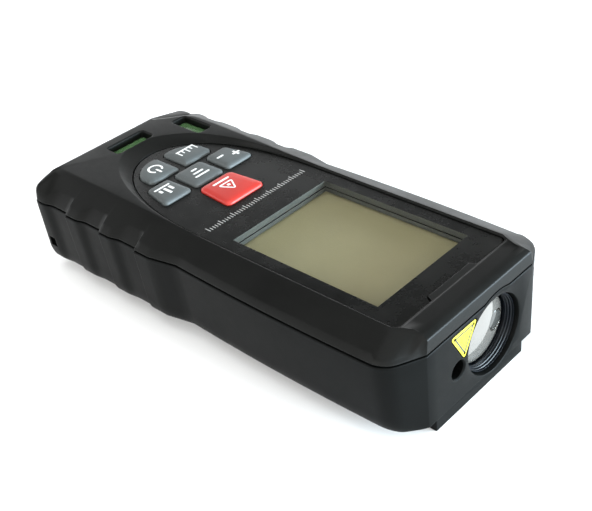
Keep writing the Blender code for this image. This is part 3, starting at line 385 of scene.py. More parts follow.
bubble_clear = moulded("vial_bubble", (0.85, 0.95, 0.75), 0.08, 0.9, 0.001, mottle=0.06, coat=1.0,
    speckle=0.03)


# ---- mesh helpers

def linked(name, data):
    """New object in the scene."""
    made = bpy.data.objects.new(name, data)
    bpy.context.collection.objects.link(made)
    return made


def make_object(name, bm, sharp=SHARP_ANGLE):
    """Turn millimetre geometry into a smooth-shaded object in metres."""
    for vert in bm.verts:
        vert.co *= MM
    bmesh.ops.recalc_face_normals(bm, faces=bm.faces)
    mesh = bpy.data.meshes.new(name)
    bm.to_mesh(mesh)
    bm.free()
    mesh.shade_smooth()
    mesh.set_sharp_from_angle(angle=math.radians(sharp))
    return linked(name, mesh)


def piece(made, finish, body, *nodes):
    """Give a finished object its material, its body and the nodes it stands for."""
    made.data.materials.clear()
    made.data.materials.append(finish)
    for face in made.data.polygons:
        face.material_index = 0
    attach(made, body)
    if nodes:
        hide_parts(*nodes)
    return made


def solid(name, build, *shape, sharp=SHARP_ANGLE):
    """Object made by one mesh builder, such as box or turned."""
    bm = bmesh.new()
    build(bm, *shape)
    return make_object(name, bm, sharp)


def line_window(made, finish):
    """Give the upright faces round the display window their own material."""
    made.data.materials.append(finish)
    margin = 0.1
    for face in made.data.polygons:
        x, y, z = face.center / MM
        inside = abs(x) < WINDOW_HALF + margin and WINDOW_YS[0] - margin < y < WINDOW_YS[1] + margin
        if inside and z > WINDOW_WALL_Z and abs(face.normal.z) < UPRIGHT:
            face.material_index = 1


def carve(target, steps, sharp=SHARP_ANGLE):
    """Apply exact Booleans one after another; a step is an operation, a builder and its shape."""
    for operation, build, *shape in steps:
        tool = solid("tool", build, *shape)
        modifier = target.modifiers.new("carve", "BOOLEAN")
        modifier.operation = operation
        modifier.solver = "EXACT"
        modifier.object = tool
        graph = bpy.context.evaluated_depsgraph_get()
        result = bpy.data.meshes.new_from_object(target.evaluated_get(graph))
        target.modifiers.clear()
        spent = (target.data, tool.data)
        target.data = result
        bpy.data.objects.remove(tool)
        for mesh in spent:
            bpy.data.meshes.remove(mesh)
    bm = bmesh.new()
    bm.from_mesh(target.data)
    bmesh.ops.remove_doubles(bm, verts=bm.verts, dist=WELD * MM)
    bmesh.ops.dissolve_degenerate(bm, edges=bm.edges, dist=WELD * MM)
    bm.to_mesh(target.data)
    bm.free()
    target.data.shade_smooth()
    target.data.set_sharp_from_angle(angle=math.radians(sharp))


def bridge(bm, rings, closed=False):
    """Faces between neighbouring rings of equal length; closed joins the last to the first."""
    loops = [[bm.verts.new(point) for point in ring] for ring in rings]
    count = len(loops[0])
    for lower, upper in zip(loops, loops[1:] + (loops[:1] if closed else [])):
        for i in range(count):
            j = (i + 1) % count
            bm.faces.new((lower[i], lower[j], upper[j], upper[i]))
    return loops


def loft(bm, rings):
    """Bridge closed rings of equal length and cap both ends."""
    loops = bridge(bm, rings)
    bm.faces.new(loops[0])
    bm.faces.new(loops[-1])


def stack(bm, layers):
    """Solid over (plan outline, height) pairs."""
    loft(bm, [[(x, y, z) for x, y in outline] for outline, z in layers])


def prism(bm, outline, low, high):
    """Straight prism over a plan outline."""
    stack(bm, [(outline, low), (outline, high)])


def slab(bm, outline, back, front):
    """Straight prism along Y over an (x, z) outline."""
    loft(bm, [[(x, y, z) for x, z in outline] for y in (back, front)])


def span(middle, half):
    """Limits on both sides of a middle."""
    return middle - half, middle + half


def rectangle(xs, ys):
    """Corners of a plan rectangle between two pairs of limits, anticlockwise."""
    return [(xs[0], ys[0]), (xs[1], ys[0]), (xs[1], ys[1]), (xs[0], ys[1])]


def box(bm, xs, ys, zs):
    """Rectangular block between three pairs of limits."""
    prism(bm, rectangle(xs, ys), *zs)


def around(profile, axis, centre, segments):
    """Ring of points round the Y or Z axis for each (distance along it, radius) pair."""
    turns = [2 * math.pi * (k + 0.5) / segments for k in range(segments)]
    rings = [[(centre[0] + radius * math.cos(turn), centre[1] + radius * math.sin(turn), along)
              for turn in turns] for along, radius in profile]
    return [[(u, along, v) for u, v, along in ring] for ring in rings] if axis == "y" else rings


def turned(bm, profile, axis, centre, segments=48):
    """Solid of revolution from (distance along the axis, radius) pairs."""
    loft(bm, around(profile, axis, centre, segments))


def tube(bm, profile, axis, centre):
    """Hollow ring of revolution from a closed (distance, radius) profile."""
    bridge(bm, around(profile, axis, centre, ROUND_SEGMENTS), closed=True)


def rounded(corners, radius, segments=6):
    """Plan polygon with its corners rounded to one radius."""
    points = []
    count = len(corners)
    for i, corner in enumerate(corners):
        here = Vector(corner)
        before = (Vector(corners[i - 1]) - here).normalized()
        after = (Vector(corners[(i + 1) % count]) - here).normalized()
        half = before.angle(after) / 2
        reach = radius / math.tan(half)
        centre = here + (before + after).normalized() * (radius / math.sin(half))
        start = here + before * reach - centre
        end = here + after * reach - centre
        for k in range(segments + 1):
            mix = start.lerp(end, k / segments).normalized() * radius
            points.append(tuple(centre + mix))
    return points


def grown(outline, distance):
    """Plan outline moved outwards by a distance, point by point."""
    area = sum(a[0] * b[1] - b[0] * a[1] for a, b in zip(outline, outline[1:] + outline[:1]))
    side = 1 if area > 0 else -1
    points = []
    count = len(outline)
    for i, point in enumerate(outline):
        here = Vector(point)
        along_in = (here - Vector(outline[i - 1])).normalized()
        along_out = (Vector(outline[(i + 1) % count]) - here).normalized()
        normal_in = Vector((along_in.y, -along_in.x)) * side
        normal_out = Vector((along_out.y, -along_out.x)) * side
        middle = normal_in + normal_out
        points.append(tuple(here + middle * (2 * distance / middle.length_squared)))
    return points


def mirrored(outline):
    """Plan outline reflected to the other side, in the same turning sense."""
    return [(-x, y) for x, y in reversed(outline)]


def middle_of(outline):
    """Centre of an outline's box."""
    xs = [x for x, _ in outline]
    ys = [y for _, y in outline]
    return (min(xs) + max(xs)) / 2, (min(ys) + max(ys)) / 2


def drawn_in(outline, distance):
    """Plan outline drawn towards its middle by about one distance on every side."""
    cx, cy = middle_of(outline)
    share_x = 1 - distance / (max(x for x, _ in outline) - cx)
    share_y = 1 - distance / (max(y for _, y in outline) - cy)
    return [(cx + (x - cx) * share_x, cy + (y - cy) * share_y) for x, y in outline]


def smoothstep(edge_a, edge_b, value):
    """0 at edge_a, 1 at edge_b, smooth in between."""
    t = min(max((value - edge_a) / (edge_b - edge_a), 0.0), 1.0)
    return t * t * (3 - 2 * t)


def softened(points, reaches):
    """Polyline with each inner corner turned into a short curve of four points."""
    soft = [points[0]]
    for before, corner, after, reach in zip(points, points[1:], points[2:], reaches):
        here = Vector(corner)
        start, end = (here + leg * min(reach / max(leg.length, 1e-6), LONGEST_CURVE)
                      for leg in (Vector(before) - here, Vector(after) - here))
        for k in range(4):
            t = k / 3
            soft.append(tuple(start * (1 - t) ** 2 + here * (2 * t * (1 - t)) + end * t * t))
    soft.append(points[-1])
    return soft


def rings_of(right, left):
    """Whole rings from one profile for each station; the nose's left corner is a little fuller."""
    def fuller(x, y, z):
        gain = FAR_CORNER_GAIN * smoothstep(15.0, NOSE_HALF, x) * smoothstep(CHAMFER_Y, FRONT_Y, y)
        return -(x + gain), y, z

    return [list(near) + [fuller(*point) for point in reversed(far[1:-1])]
            for near, far in zip(zip(*right), zip(*left))]


# ---- body shape

def valley_weight(y):
    """1 on the floor of a valley between two grip ribs, 0 on a crest."""
    if y > FIRST_STEP_Y or y < FIRST_STEP_Y - RIB_COUNT * RIB_PITCH:
        return 0.0
    behind = (FIRST_STEP_Y - y) % RIB_PITCH
    if behind < VALLEY_END:
        return smoothstep(0.0, STEP_RUN, behind)
    return 1.0 - smoothstep(VALLEY_END, RAMP_END, behind)


def side_half_width(y):
    """Half width of the body at the parting plane."""
    waist = SIDE_HALF - SIDE_BOW
    if y >= WAIST_Y:
        middle = (WAIST_Y + FRONT_Y - 5) / 2
        return SIDE_HALF - SIDE_BOW * ((y - middle) / (middle - WAIST_Y)) ** 2
    if y >= FIRST_CREST_Y:
        rise = (WAIST_Y - y) / (WAIST_Y - FIRST_CREST_Y)
        return waist + (GRIP_HALF - waist) * rise
    return GRIP_HALF - RIB_DEPTH * valley_weight(y)


def stations(rear_radius=REAR_RADIUS):
    """Stations round the right half, from the nose centre to the rear centre.

    Each is (x, y, normal_x, normal_y, kind, valley weight, share of the rear arc).
    """
    found = [(NOSE_HALF * k / NOSE_PARTS, FRONT_Y, 0.0, 1.0, "nose", 0.0, 0.0)
             for k in range(NOSE_PARTS + 1)]
    width = side_half_width(CHAMFER_Y) - NOSE_HALF
    depth = FRONT_Y - CHAMFER_Y
    slope = math.radians(CHAMFER_SLOPE)
    sine, cosine = math.sin(slope), math.cos(slope)
    bend = (depth * cosine - width * sine) / (1 - sine)
    run = (depth - bend * cosine) / sine
    for part in CHAMFER_PARTS:
        x = NOSE_HALF + run * cosine * part
        found.append((x, FRONT_Y - run * sine * part, sine, cosine, "chamfer", 0.0, 0.0))
    for angle in BEND_ANGLES:
        nx, ny = math.sin(math.radians(angle)), math.cos(math.radians(angle))
        x = NOSE_HALF + width - bend * (1 - nx)
        found.append((x, CHAMFER_Y + bend * ny, nx, ny, "chamfer", 0.0, 0.0))
    knots = [CHAMFER_Y, *SIDE_KNOTS, WAIST_Y, FIRST_CREST_Y]
    for rib in range(RIB_COUNT):
        step_y = FIRST_STEP_Y - rib * RIB_PITCH
        knots += [step_y, step_y - STEP_RUN, step_y - VALLEY_END, step_y - RAMP_END]
    first = knots.index(WAIST_Y)
    last = len(knots) - 1 - first
    arc = last + 6
    for k, (start, end) in enumerate(zip(knots, knots[1:])):
        parts = 4 if start - end < LONG_RUN else 3
        for j in range(parts):
            y = start + (end - start) * j / parts
            share = max(k + j / parts - first, 0.0) / arc
            found.append((side_half_width(y), y, 1.0, 0.0, "side", valley_weight(y), share))
    found.append((side_half_width(knots[-1]), knots[-1], 1.0, 0.0, "side", 0.0, last / arc))
    for k in range(1, CORNER_PARTS + 1):
        angle = math.radians(-90 / CORNER_PARTS * k)
        nx, ny = math.cos(angle), math.sin(angle)
        x = GRIP_HALF - rear_radius + rear_radius * nx
        y = REAR_Y + rear_radius + rear_radius * ny
        found.append((x, y, nx, ny, "corner", 0.0, (last + k / 2) / arc))
    for k, x in enumerate(REAR_XS, 1):
        found.append((x, REAR_Y, 0.0, -1.0, "rear", 0.0, (last + 4 + k / 2) / arc))
    return found


def rim_height(y):
    """Height of the rim: low beside the display, higher round the rear end."""
    return RIM_Z + (CROWN_Z - RIM_Z) * smoothstep(*RIM_RISE_Y, y)


def bullet(half, reach, fraction):
    """Point on a rounded rear end; fraction runs from the waist to the apex."""
    start = math.asin(-WAIST_Y / reach)
    depth = min(math.sin(start + (math.pi / 2 - start) * fraction), 1.0)
    return half * math.sqrt(max(1 - depth ** PANEL_POWER, 0.0)), -reach * depth


def panel_outline(growth=0.0):
    """Outline of the display panel, anticlockwise from its front right corner."""
    right = [bullet(PANEL_HALF + growth, PANEL_REAR + growth, k / PANEL_PARTS)
             for k in range(PANEL_PARTS + 1)]
    front = PANEL_FRONT_Y + growth
    notch = TONGUE_HALF - growth
    left = mirrored(right[:-1])
    corner = PANEL_CORNER
    half = PANEL_HALF + growth
    nose = [(-half, front - corner), (-half + 0.15 * corner, front - 0.62 * corner),
            (-half + 0.4 * corner, front - 0.3 * corner), (-half + corner, front),
            (-notch - 0.7, front), (-notch, front - TONGUE_DEPTH)]
    nose += mirrored(nose)
    return right + left + nose


def chamfer_share(x):
    """0 at the laser end, 1 where the chamfer has turned into the side."""
    return min(max((x - NOSE_HALF) / (side_half_width(CHAMFER_Y) - NOSE_HALF), 0.0), 1.0)


def lower_profiles():
    """Profile of the rear housing at each station, from the floor to the parting."""
    profiles = []
    for lower, upper in zip(stations(REAR_LOW_RADIUS), stations(REAR_RADIUS)):
        points = []
        x, y, _, _, kind, valley, _ = lower
        for z, side_inset, end_inset in zip(LOW_RING_Z, SIDE_INSETS, END_INSETS):
            inset_x = 0.0 if kind == "rear" else side_inset
            inset_y = end_inset if kind in ("corner", "rear") else 0.0
            if kind in ("nose", "chamfer"):
                inset_x *= chamfer_share(x) ** 1.5
            if kind == "side":
                inset_x -= RIB_FADE * RIB_DEPTH * valley * side_inset / SIDE_INSETS[0]
            points.append((x - inset_x, y + inset_y, z))
        x, y, nx, ny = upper[:4]
        rim = PARTING_Z - GAP / 2
        points.append((x, y, rim - EDGE_ROUND))
        points.append((x - EDGE_ROUND * nx, y - EDGE_ROUND * ny, rim))
        profiles.append(softened(points, (0.4, 1.0, 1.4, EDGE_ROUND)))
    return profiles


def nose_rim(x, y):
    """Points of the front housing above the nose, from outside to the recess."""
    width = x / NOSE_HALF
    return [(x - 0.5 * width, y - 0.15, 25.2), (17.2 * width, y - 1.5, 25.85),
            (16.9 * width, y - 2.6, 26.0), (NOSE_RIM_HALF * width, PANEL_FRONT_Y + 0.75, 26.1),
            (NOSE_RIM_HALF * width, PANEL_FRONT_Y + RECESS_ROOM, RECESS_Z)]


def chamfer_rim(x, y, nx, ny):
    """Points of the front housing above the chamfered corner, from outside to the recess."""
    turn = math.sqrt(1 - chamfer_share(x) ** 2)
    corner = max(1.0 - (x - NOSE_HALF) / CORNER_FACET, 0.0)
    return [(x - 0.9 * nx, y - 0.9 * ny, 22.6 + 0.5 * (1 - turn) + 2.6 * corner),
            (RIDGE_HALF - 2.7 * turn, CHAMFER_Y + 5.2 * turn, 25.95),
            (RIDGE_HALF - RIDGE_WIDE - 2.4 * turn, CHAMFER_Y + 4.4 * turn, RIM_Z),
            (CRESCENT_HALF - 0.9 * turn, CHAMFER_Y + 1.6 * turn, RIM_Z),
            (PANEL_HALF + RECESS_ROOM - 0.6 * turn, CHAMFER_Y + 1.4 * turn, RECESS_Z)]


def side_rim(station, side):
    """Points of the front housing along the side and the rear, from outside to the recess."""
    x, y, nx, ny, kind, valley, share = station
    top = rim_height(y)
    rearward = smoothstep(0.0, 0.7, -ny)
    broad = smoothstep(-44.0, -54.0, y) * (side < 0)
    grip = smoothstep(WAIST_Y, FIRST_CREST_Y, y)
    inset = 1.65 + 0.35 * grip - 1.5 * rearward + 4.5 * broad * 2 * nx * abs(ny)
    edge = x + RIB_DEPTH * valley - inset * nx
    edge_z = 23.4 + (1.6 - 0.8 * broad) * rearward
    climb = min(1.2 / (top - LIP_DROP - edge_z), 1.0) * valley
    points = [(edge + (RIDGE_HALF - edge) * climb, y - inset * ny,
               edge_z + (top - LIP_DROP - edge_z) * climb)]
    corner_x = half = RIDGE_HALF - 7.5 * broad * smoothstep(0.0, 1.0, (-46.0 - y) / 12.0)
    corner_y = max(y, REAR_Y + REAR_LIP)
    if kind == "corner":
        corner_y = REAR_Y + REAR_RADIUS + (REAR_RADIUS - REAR_LIP) * ny
    if kind == "rear":
        corner_x = min(x * half / (GRIP_HALF - REAR_RADIUS), half)
    crest_x = corner_x * 0.96 if kind == "rear" else corner_x - RIDGE_WIDE
    points += [(corner_x, corner_y, top - LIP_DROP - 0.25 * rearward),
               (crest_x, corner_y + 1.2 * rearward, top)]
    if y >= WAIST_Y:
        return points + [(CRESCENT_HALF, y, top), (PANEL_HALF + RECESS_ROOM, y, RECESS_Z)]
    outer = bullet(CRESCENT_HALF, CRESCENT_REAR, share)
    inner = bullet(PANEL_HALF + RECESS_ROOM, PANEL_REAR + RECESS_ROOM, share)
    return points + [(*outer, rim_height(outer[1])), (*inner, RECESS_Z)]


def upper_profiles(side):
    """Profiles of the front housing, from the parting to the recess, on one side.

    The left side, -1, has a broader facet at its rear corner.
    """
    profiles = []
    step_x, step_y = STEP_IN
    low = PARTING_Z + GAP / 2
    for station in stations():
        x, y, nx, ny, kind = station[:5]
        points = [(x - (step_x + EDGE_ROUND) * nx, y - (step_y + EDGE_ROUND) * ny, low),
                  (x - step_x * nx, y - step_y * ny, low + EDGE_ROUND)]
        soft = 0.0
        if kind == "nose":
            points += nose_rim(x, y)
        elif kind == "chamfer":
            points += chamfer_rim(x, y, nx, ny)
        else:
            points += side_rim(station, side)
            soft = smoothstep(-44.0, -56.0, y)
        reaches = (EDGE_ROUND, 0.35 + 0.9 * soft, 0.3 + 0.6 * soft, 0.35 + 0.3 * soft, 0.3)
        profiles.append(softened(points, reaches))
    return profiles


def cavity_outline(inset):
    """Inside of the two housings."""
    side = SIDE_HALF - SIDE_BOW - inset
    nose = NOSE_HALF - 1.0
    rear = REAR_Y + inset + 0.6
    front = FRONT_Y - WALL - 0.2 * inset
    right = [(nose, front), (side, CHAMFER_Y - 1.0), (side, rear + 7.0), (side - 6.0, rear)]
    return right + mirrored(right)


def screw_places():
    """Plan position of each housing screw."""
    return [(side * x, y) for x, y in (REAR_SCREW, FRONT_SCREW) for side in (-1, 1)]


def at_screws(bm, *profiles):
    """The same turned profiles at every housing screw."""
    for place in screw_places():
        for profile in profiles:
            turned(bm, profile, "z", place, 32)


def hump_points(half, base, rise):
    """Arch over the lens, as (x, z) pairs from left to right."""
    return [(HUMP_X + half * math.cos(math.pi * (1 - k / 20)),
             base + rise * (0.5 - 0.5 * math.cos(math.pi * k / 10))) for k in range(21)]


def window_opening(bm):
    """Block that cuts the display window."""
    box(bm, span(0.0, WINDOW_HALF), WINDOW_YS, (PARTING_Z, CROWN_Z))


def vial_slot(bm, centre, halves):
    """Slot over a spirit level, flared at the rim."""
    slot = rounded(rectangle(*map(span, centre, halves)), 0.8)
    top = rim_height(centre[1])
    stack(bm, [(slot, PARTING_Z), (slot, top - 0.35), (grown(slot, 0.7), top + 0.35)])


def build_rear_shell():
    """Tray that carries the optics, the battery bay and the laser end."""
    profiles = lower_profiles()
    shell = solid("rear_shell", loft, rings_of(profiles, profiles))
    rim = PARTING_Z - GAP / 2
    foot = rounded(rectangle(span(0.0, PEDESTAL_HALF), (PEDESTAL_REAR_Y, FRONT_Y - FLUSH)), 0.25)
    hump = hump_points(HUMP_HALF, rim, HUMP_RISE)
    hump += [(HUMP_X + HUMP_HALF, rim - 1.5), (HUMP_X - HUMP_HALF, rim - 1.5)]
    seat = rectangle(span(0.0, COVER_HALF + GAP), (COVER_Y[0] - GAP, COVER_Y[1] + GAP))
    carve(shell, [
        (JOIN, stack, [(grown(foot, -0.15), 0.0), (foot, 0.15), (foot, FLOOR_Z + 1.0)]),
        (CUT, stack, [(cavity_outline(inset), z) for inset, z in CAVITY_STEPS]),
        (CUT, box, span(0.0, PEDESTAL_HALF - 1.4), (12.0, FRONT_Y - WALL - 0.2), (1.8, 6.0)),
        (JOIN, box, span(0.0, BAY_HALF + BAY_WALL), (BAY_Y[0] - BAY_WALL, BAY_Y[1] + BAY_WALL),
         (FLOOR_Z - 1.0, BAY_TOP_Z + BAY_WALL)),
        (JOIN, at_screws, [(FLOOR_Z + 0.5, 2.5), (PARTING_Z - 0.3, 2.5)]),
        (JOIN, slab, hump, FRONT_Y - WALL - 0.1, FRONT_Y - FLUSH),
        (CUT, box, span(0.0, BAY_HALF), BAY_Y, (-1.0, BAY_TOP_Z)),
        (CUT, prism, rounded(seat, 1.4), -1.0, COVER_Z[1] + GAP),
        (CUT, at_screws,
         [(-1.0, 2.1), (SCREW_SEAT_Z, 2.1), (SCREW_SEAT_Z, SCREW_BORE), (PARTING_Z + 1.0, SCREW_BORE)],
         [(FLOOR_Z - 0.4, 2.8), (FLOOR_Z + 0.35, 2.05)]),
        (CUT, turned, [(NOSE_INSIDE_Y - 1.0, BORE_RADIUS), (FRONT_Y - 0.45, BORE_RADIUS),
                       (FRONT_Y - 0.2, BORE_RADIUS + 0.12), (FRONT_Y + 0.05, BORE_RADIUS + 0.75),
                       (FRONT_Y + 0.3, BORE_RADIUS + 1.5)], "y", (LENS_X, LENS_Z), ROUND_SEGMENTS),
        (CUT, turned, [(NOSE_INSIDE_Y - 1.0, APERTURE_RADIUS), (FRONT_Y - 0.35, APERTURE_RADIUS),
                       (FRONT_Y + 0.2, APERTURE_RADIUS + 0.5)], "y", (LASER_X, LASER_Z)),
        (CUT, slab, label_outline(GAP), FRONT_Y - LABEL_SEAT, FRONT_Y + 1.0),
        (CUT, prism, CORD_SLOT, *CORD_SLOT_Z),
    ])
    piece(shell, black, "meter", "rear_housing")


def build_front_shell():
    """Face of the meter: seat for the panel, key openings and vial slots."""
    shell = solid("front_shell", loft, rings_of(upper_profiles(1), upper_profiles(-1)))
    below = PARTING_Z - 1.0
    half = HUMP_HALF + GAP
    notch = [(HUMP_X - half, below), *hump_points(half, PARTING_Z + GAP / 2, HUMP_RISE)[1:-1],
             (HUMP_X + half, below)]
    carve(shell, [
        (CUT, prism, panel_outline(0.22), SEAT_Z, CROWN_Z + 1.0),
        (CUT, prism, cavity_outline(2.2), below, CEILING_Z),
        *[(CUT, box, *room, (below, VIAL_ROOF_Z)) for room in VIAL_ROOMS],
        (JOIN, at_screws, [(PARTING_Z + 0.3, 2.2), (CEILING_Z + 0.4, 2.2)]),
        (CUT, at_screws, [(below, SCREW_BORE), (SCREW_TIP_Z + 0.4, SCREW_BORE)]),
        (CUT, vial_slot, CROSS_VIAL, CROSS_SLOT),
        (CUT, vial_slot, LONG_VIAL, LONG_SLOT),
        (CUT, window_opening),
        (CUT, slab, notch, FRONT_Y - WALL - GAP, FRONT_Y + 1.0),
        (CUT, key_openings, GAP),
    ])
    line_window(piece(shell, face_black, "meter", "front_housing"), lining)


# ---- keys

def flared(rear_half, front_half, ys):
    """Corners of a key that is wider at its front than at its rear."""
    return [(-rear_half, ys[0]), (rear_half, ys[0]), (front_half, ys[1]), (-front_half, ys[1])]


def key_outlines():
    """Plan outlines of the six keys."""
    rear, front = KEY_ROW_2
    side_key = rounded([(6.35, rear), (13.0, rear), (14.8, front), (6.0, front)], 1.0)
    rear, front = KEY_ROW_3
    corners = [(1.1, front), (1.1, rear + 1.4), (1.7, rear + 0.8)]
    cx, cy, reach_x, reach_y = 2.2, front - 2.4, 8.1, 6.8
    for k in range(9):
        angle = math.radians(12 + 74 * (8 - k) / 8)
        corners.append((cx + reach_x * math.cos(angle), cy - reach_y * math.sin(angle)))
    corners += [(10.2, front - 0.9), (9.4, front)]
    round_key = rounded(corners, 0.35, 3)
    return {
        "key_measure": rounded(flared(5.15, 6.1, KEY_ROW_1), 1.3),
        "key_plus_minus": mirrored(side_key),
        "key_function": rounded(flared(4.45, 4.65, KEY_ROW_2), 1.0),
        "key_memory": side_key,
        "key_unit": mirrored(round_key),
        "key_clear": round_key,
    }


def key_openings(bm, growth):
    """One prism for each key, a little larger than the cap."""
    for outline in key_outlines().values():
        prism(bm, grown(outline, growth), PARTING_Z, CROWN_Z + 1.0)


def strip(bm, outer, inner, low, high):
    """Flat closed band between two outlines of equal length."""
    bridge(bm, [[(x, y, z) for x, y in outline] for outline, z in
                ((outer, low), (outer, high), (inner, high), (inner, low))], closed=True)


def arc_band(bm, centre, radii, degrees, low, high):
    """Flat arc of a ring between two angles."""
    turns = [math.radians(degrees[0] + (degrees[1] - degrees[0]) * k / 24) for k in range(25)]
    prism(bm, [(centre[0] + radius * math.cos(turn), centre[1] + radius * math.sin(turn))
               for radius, order in zip(radii, (1, -1)) for turn in turns[::order]], low, high)


def key_mark(bm, name, cx, cy, low, high):
    """Plain generic symbol on a key."""
    def bar(x, y, half_x, half_y):
        corners = rectangle(span(cx + x, half_x), span(cy + y, half_y))
        prism(bm, rounded(corners, min(half_x, half_y) * 0.6, 3), low, high)

    if name == "key_measure":
        corners = [(cx - 2.4, cy - 2.0), (cx + 2.4, cy - 2.0), (cx, cy + 2.3)]
        outer = rounded(corners, 0.5, 4)
        strip(bm, outer, grown(outer, -0.42), low, high)
        bar(0.0, -0.55, 0.42, 0.42)
        bar(0.0, -3.3, 2.6, 0.3)
    elif name == "key_plus_minus":
        arm, thin = 1.15, 0.3
        plus = [(-arm, -thin), (-thin, -thin), (-thin, -arm), (thin, -arm), (thin, -thin), (arm, -thin),
                (arm, thin), (thin, thin), (thin, arm), (-thin, arm), (-thin, thin), (-arm, thin)]
        prism(bm, [(cx - 1.9 + x, cy + 0.9 + y) for x, y in plus], low, high)
        bar(1.9, -0.9, 1.1, thin)
    elif name == "key_function":
        for k, half in enumerate((2.3, 1.6, 0.9)):
            bar(0.0, 1.6 - 1.6 * k, half, 0.3)
    elif name == "key_memory":
        bar(0.0, -1.9, 2.4, 0.28)
        for k, height in enumerate((1.0, 1.5, 0.7)):
            bar(-1.5 + 1.5 * k, -1.1 + height, 0.38, height)
    elif name == "key_unit":
        bar(-0.3, -1.2, 2.9, 0.28)
        for k in range(5):
            rise, half = (0.0, 0.65) if k % 2 else (0.35, 1.0)
            bar(-2.9 + 1.3 * k, -0.3 + rise, 0.2, half)
    else:
        arc_band(bm, (cx - 0.5, cy + 0.2), (1.45, 2.0), (125, 415), low, high)
        bar(-0.5, 1.6, 0.28, 1.1)


def build_keys():
    """Key caps with rounded tops, and the printed symbol on each."""
    for name, outline in key_outlines().items():
        place = middle_of(outline)
        flange = grown(outline, FLANGE)
        shoulder = KEY_TOP_Z - KEY_ROUND
        layers = [(flange, FLANGE_Z[0]), (flange, FLANGE_Z[1]), (outline, FLANGE_Z[1]),
                  (outline, shoulder)]
        for k in range(1, 6):
            angle = math.radians(15 * k)
            layers.append((drawn_in(outline, KEY_ROUND * (1 - math.cos(angle))),
                           shoulder + KEY_RISE * math.sin(angle)))
        layers += [(drawn_in(outline, 0.95), KEY_TOP_Z - 0.08), (drawn_in(outline, 1.4), KEY_TOP_Z)]
        cap = solid(name + "_cap", stack, layers, sharp=KEY_SHARP)
        profile = [(PLUNGER_Z, PLUNGER_RADIUS - 0.2), (PLUNGER_Z + 0.2, PLUNGER_RADIUS),
                   (FLANGE_Z[0] + 0.3, PLUNGER_RADIUS)]
        carve(cap, [(JOIN, turned, profile, "z", place, 32)], KEY_SHARP)
        piece(cap, key_red if name == "key_measure" else key_grey, name, name)
        mark = solid(name + "_mark", key_mark, name, *place, KEY_TOP_Z + PRINT_GAP, KEY_TOP_Z + INK)
        piece(mark, key_ink, name)


# ---- panel and window

def ruler_marks(bm):
    """Ruler marks across the panel, every fifth one longer."""
    for k in range(SCALE_MARKS):
        length = SCALE_LONG if k % 5 == 0 else SCALE_SHORT
        box(bm, span(SCALE_START + SCALE_PITCH * k, SCALE_HALF), (SCALE_Y - length, SCALE_Y),
            (PANEL_TOP_Z + PRINT_GAP, PANEL_TOP_Z + 0.02))


def build_panel():
    """Printed panel, its clear window and the ruler marks across it."""
    edge = panel_outline()
    low = PANEL_TOP_Z - PANEL_THICK
    layers = [(edge, low), (edge, PANEL_TOP_Z - PANEL_BREAK), (grown(edge, -PANEL_BREAK), PANEL_TOP_Z)]
    panel = solid("panel_plate", stack, layers)
    carve(panel, [(CUT, window_opening), (CUT, key_openings, 0.25)])
    line_window(piece(panel, panel_ink, "meter", "display_panel"), lining)
    window = solid("panel_window", box, span(0.0, WINDOW_HALF - 0.01),
                   (WINDOW_YS[0] + 0.01, WINDOW_YS[1] - 0.01), (low, PANEL_TOP_Z))
    piece(window, window_clear, "meter", "display_window")
    piece(solid("panel_scale", ruler_marks), scale_ink, "meter")


# ---- laser end

def label_outline(growth):
    """Triangle on the laser end, point down, as (x, z) pairs."""
    corners = [(LABEL_X - LABEL_HALF, LABEL_TOP_Z), (LABEL_X + LABEL_HALF, LABEL_TOP_Z),
               (LABEL_X, LABEL_TOP_Z - LABEL_HALF * math.sqrt(3))]
    return grown(rounded(corners, 0.5, 5), growth)


def label_rings(steps):
    """Triangles of the label for (growth, distance along Y) pairs."""
    return [[(x, y, z) for x, z in label_outline(growth)] for growth, y in steps]


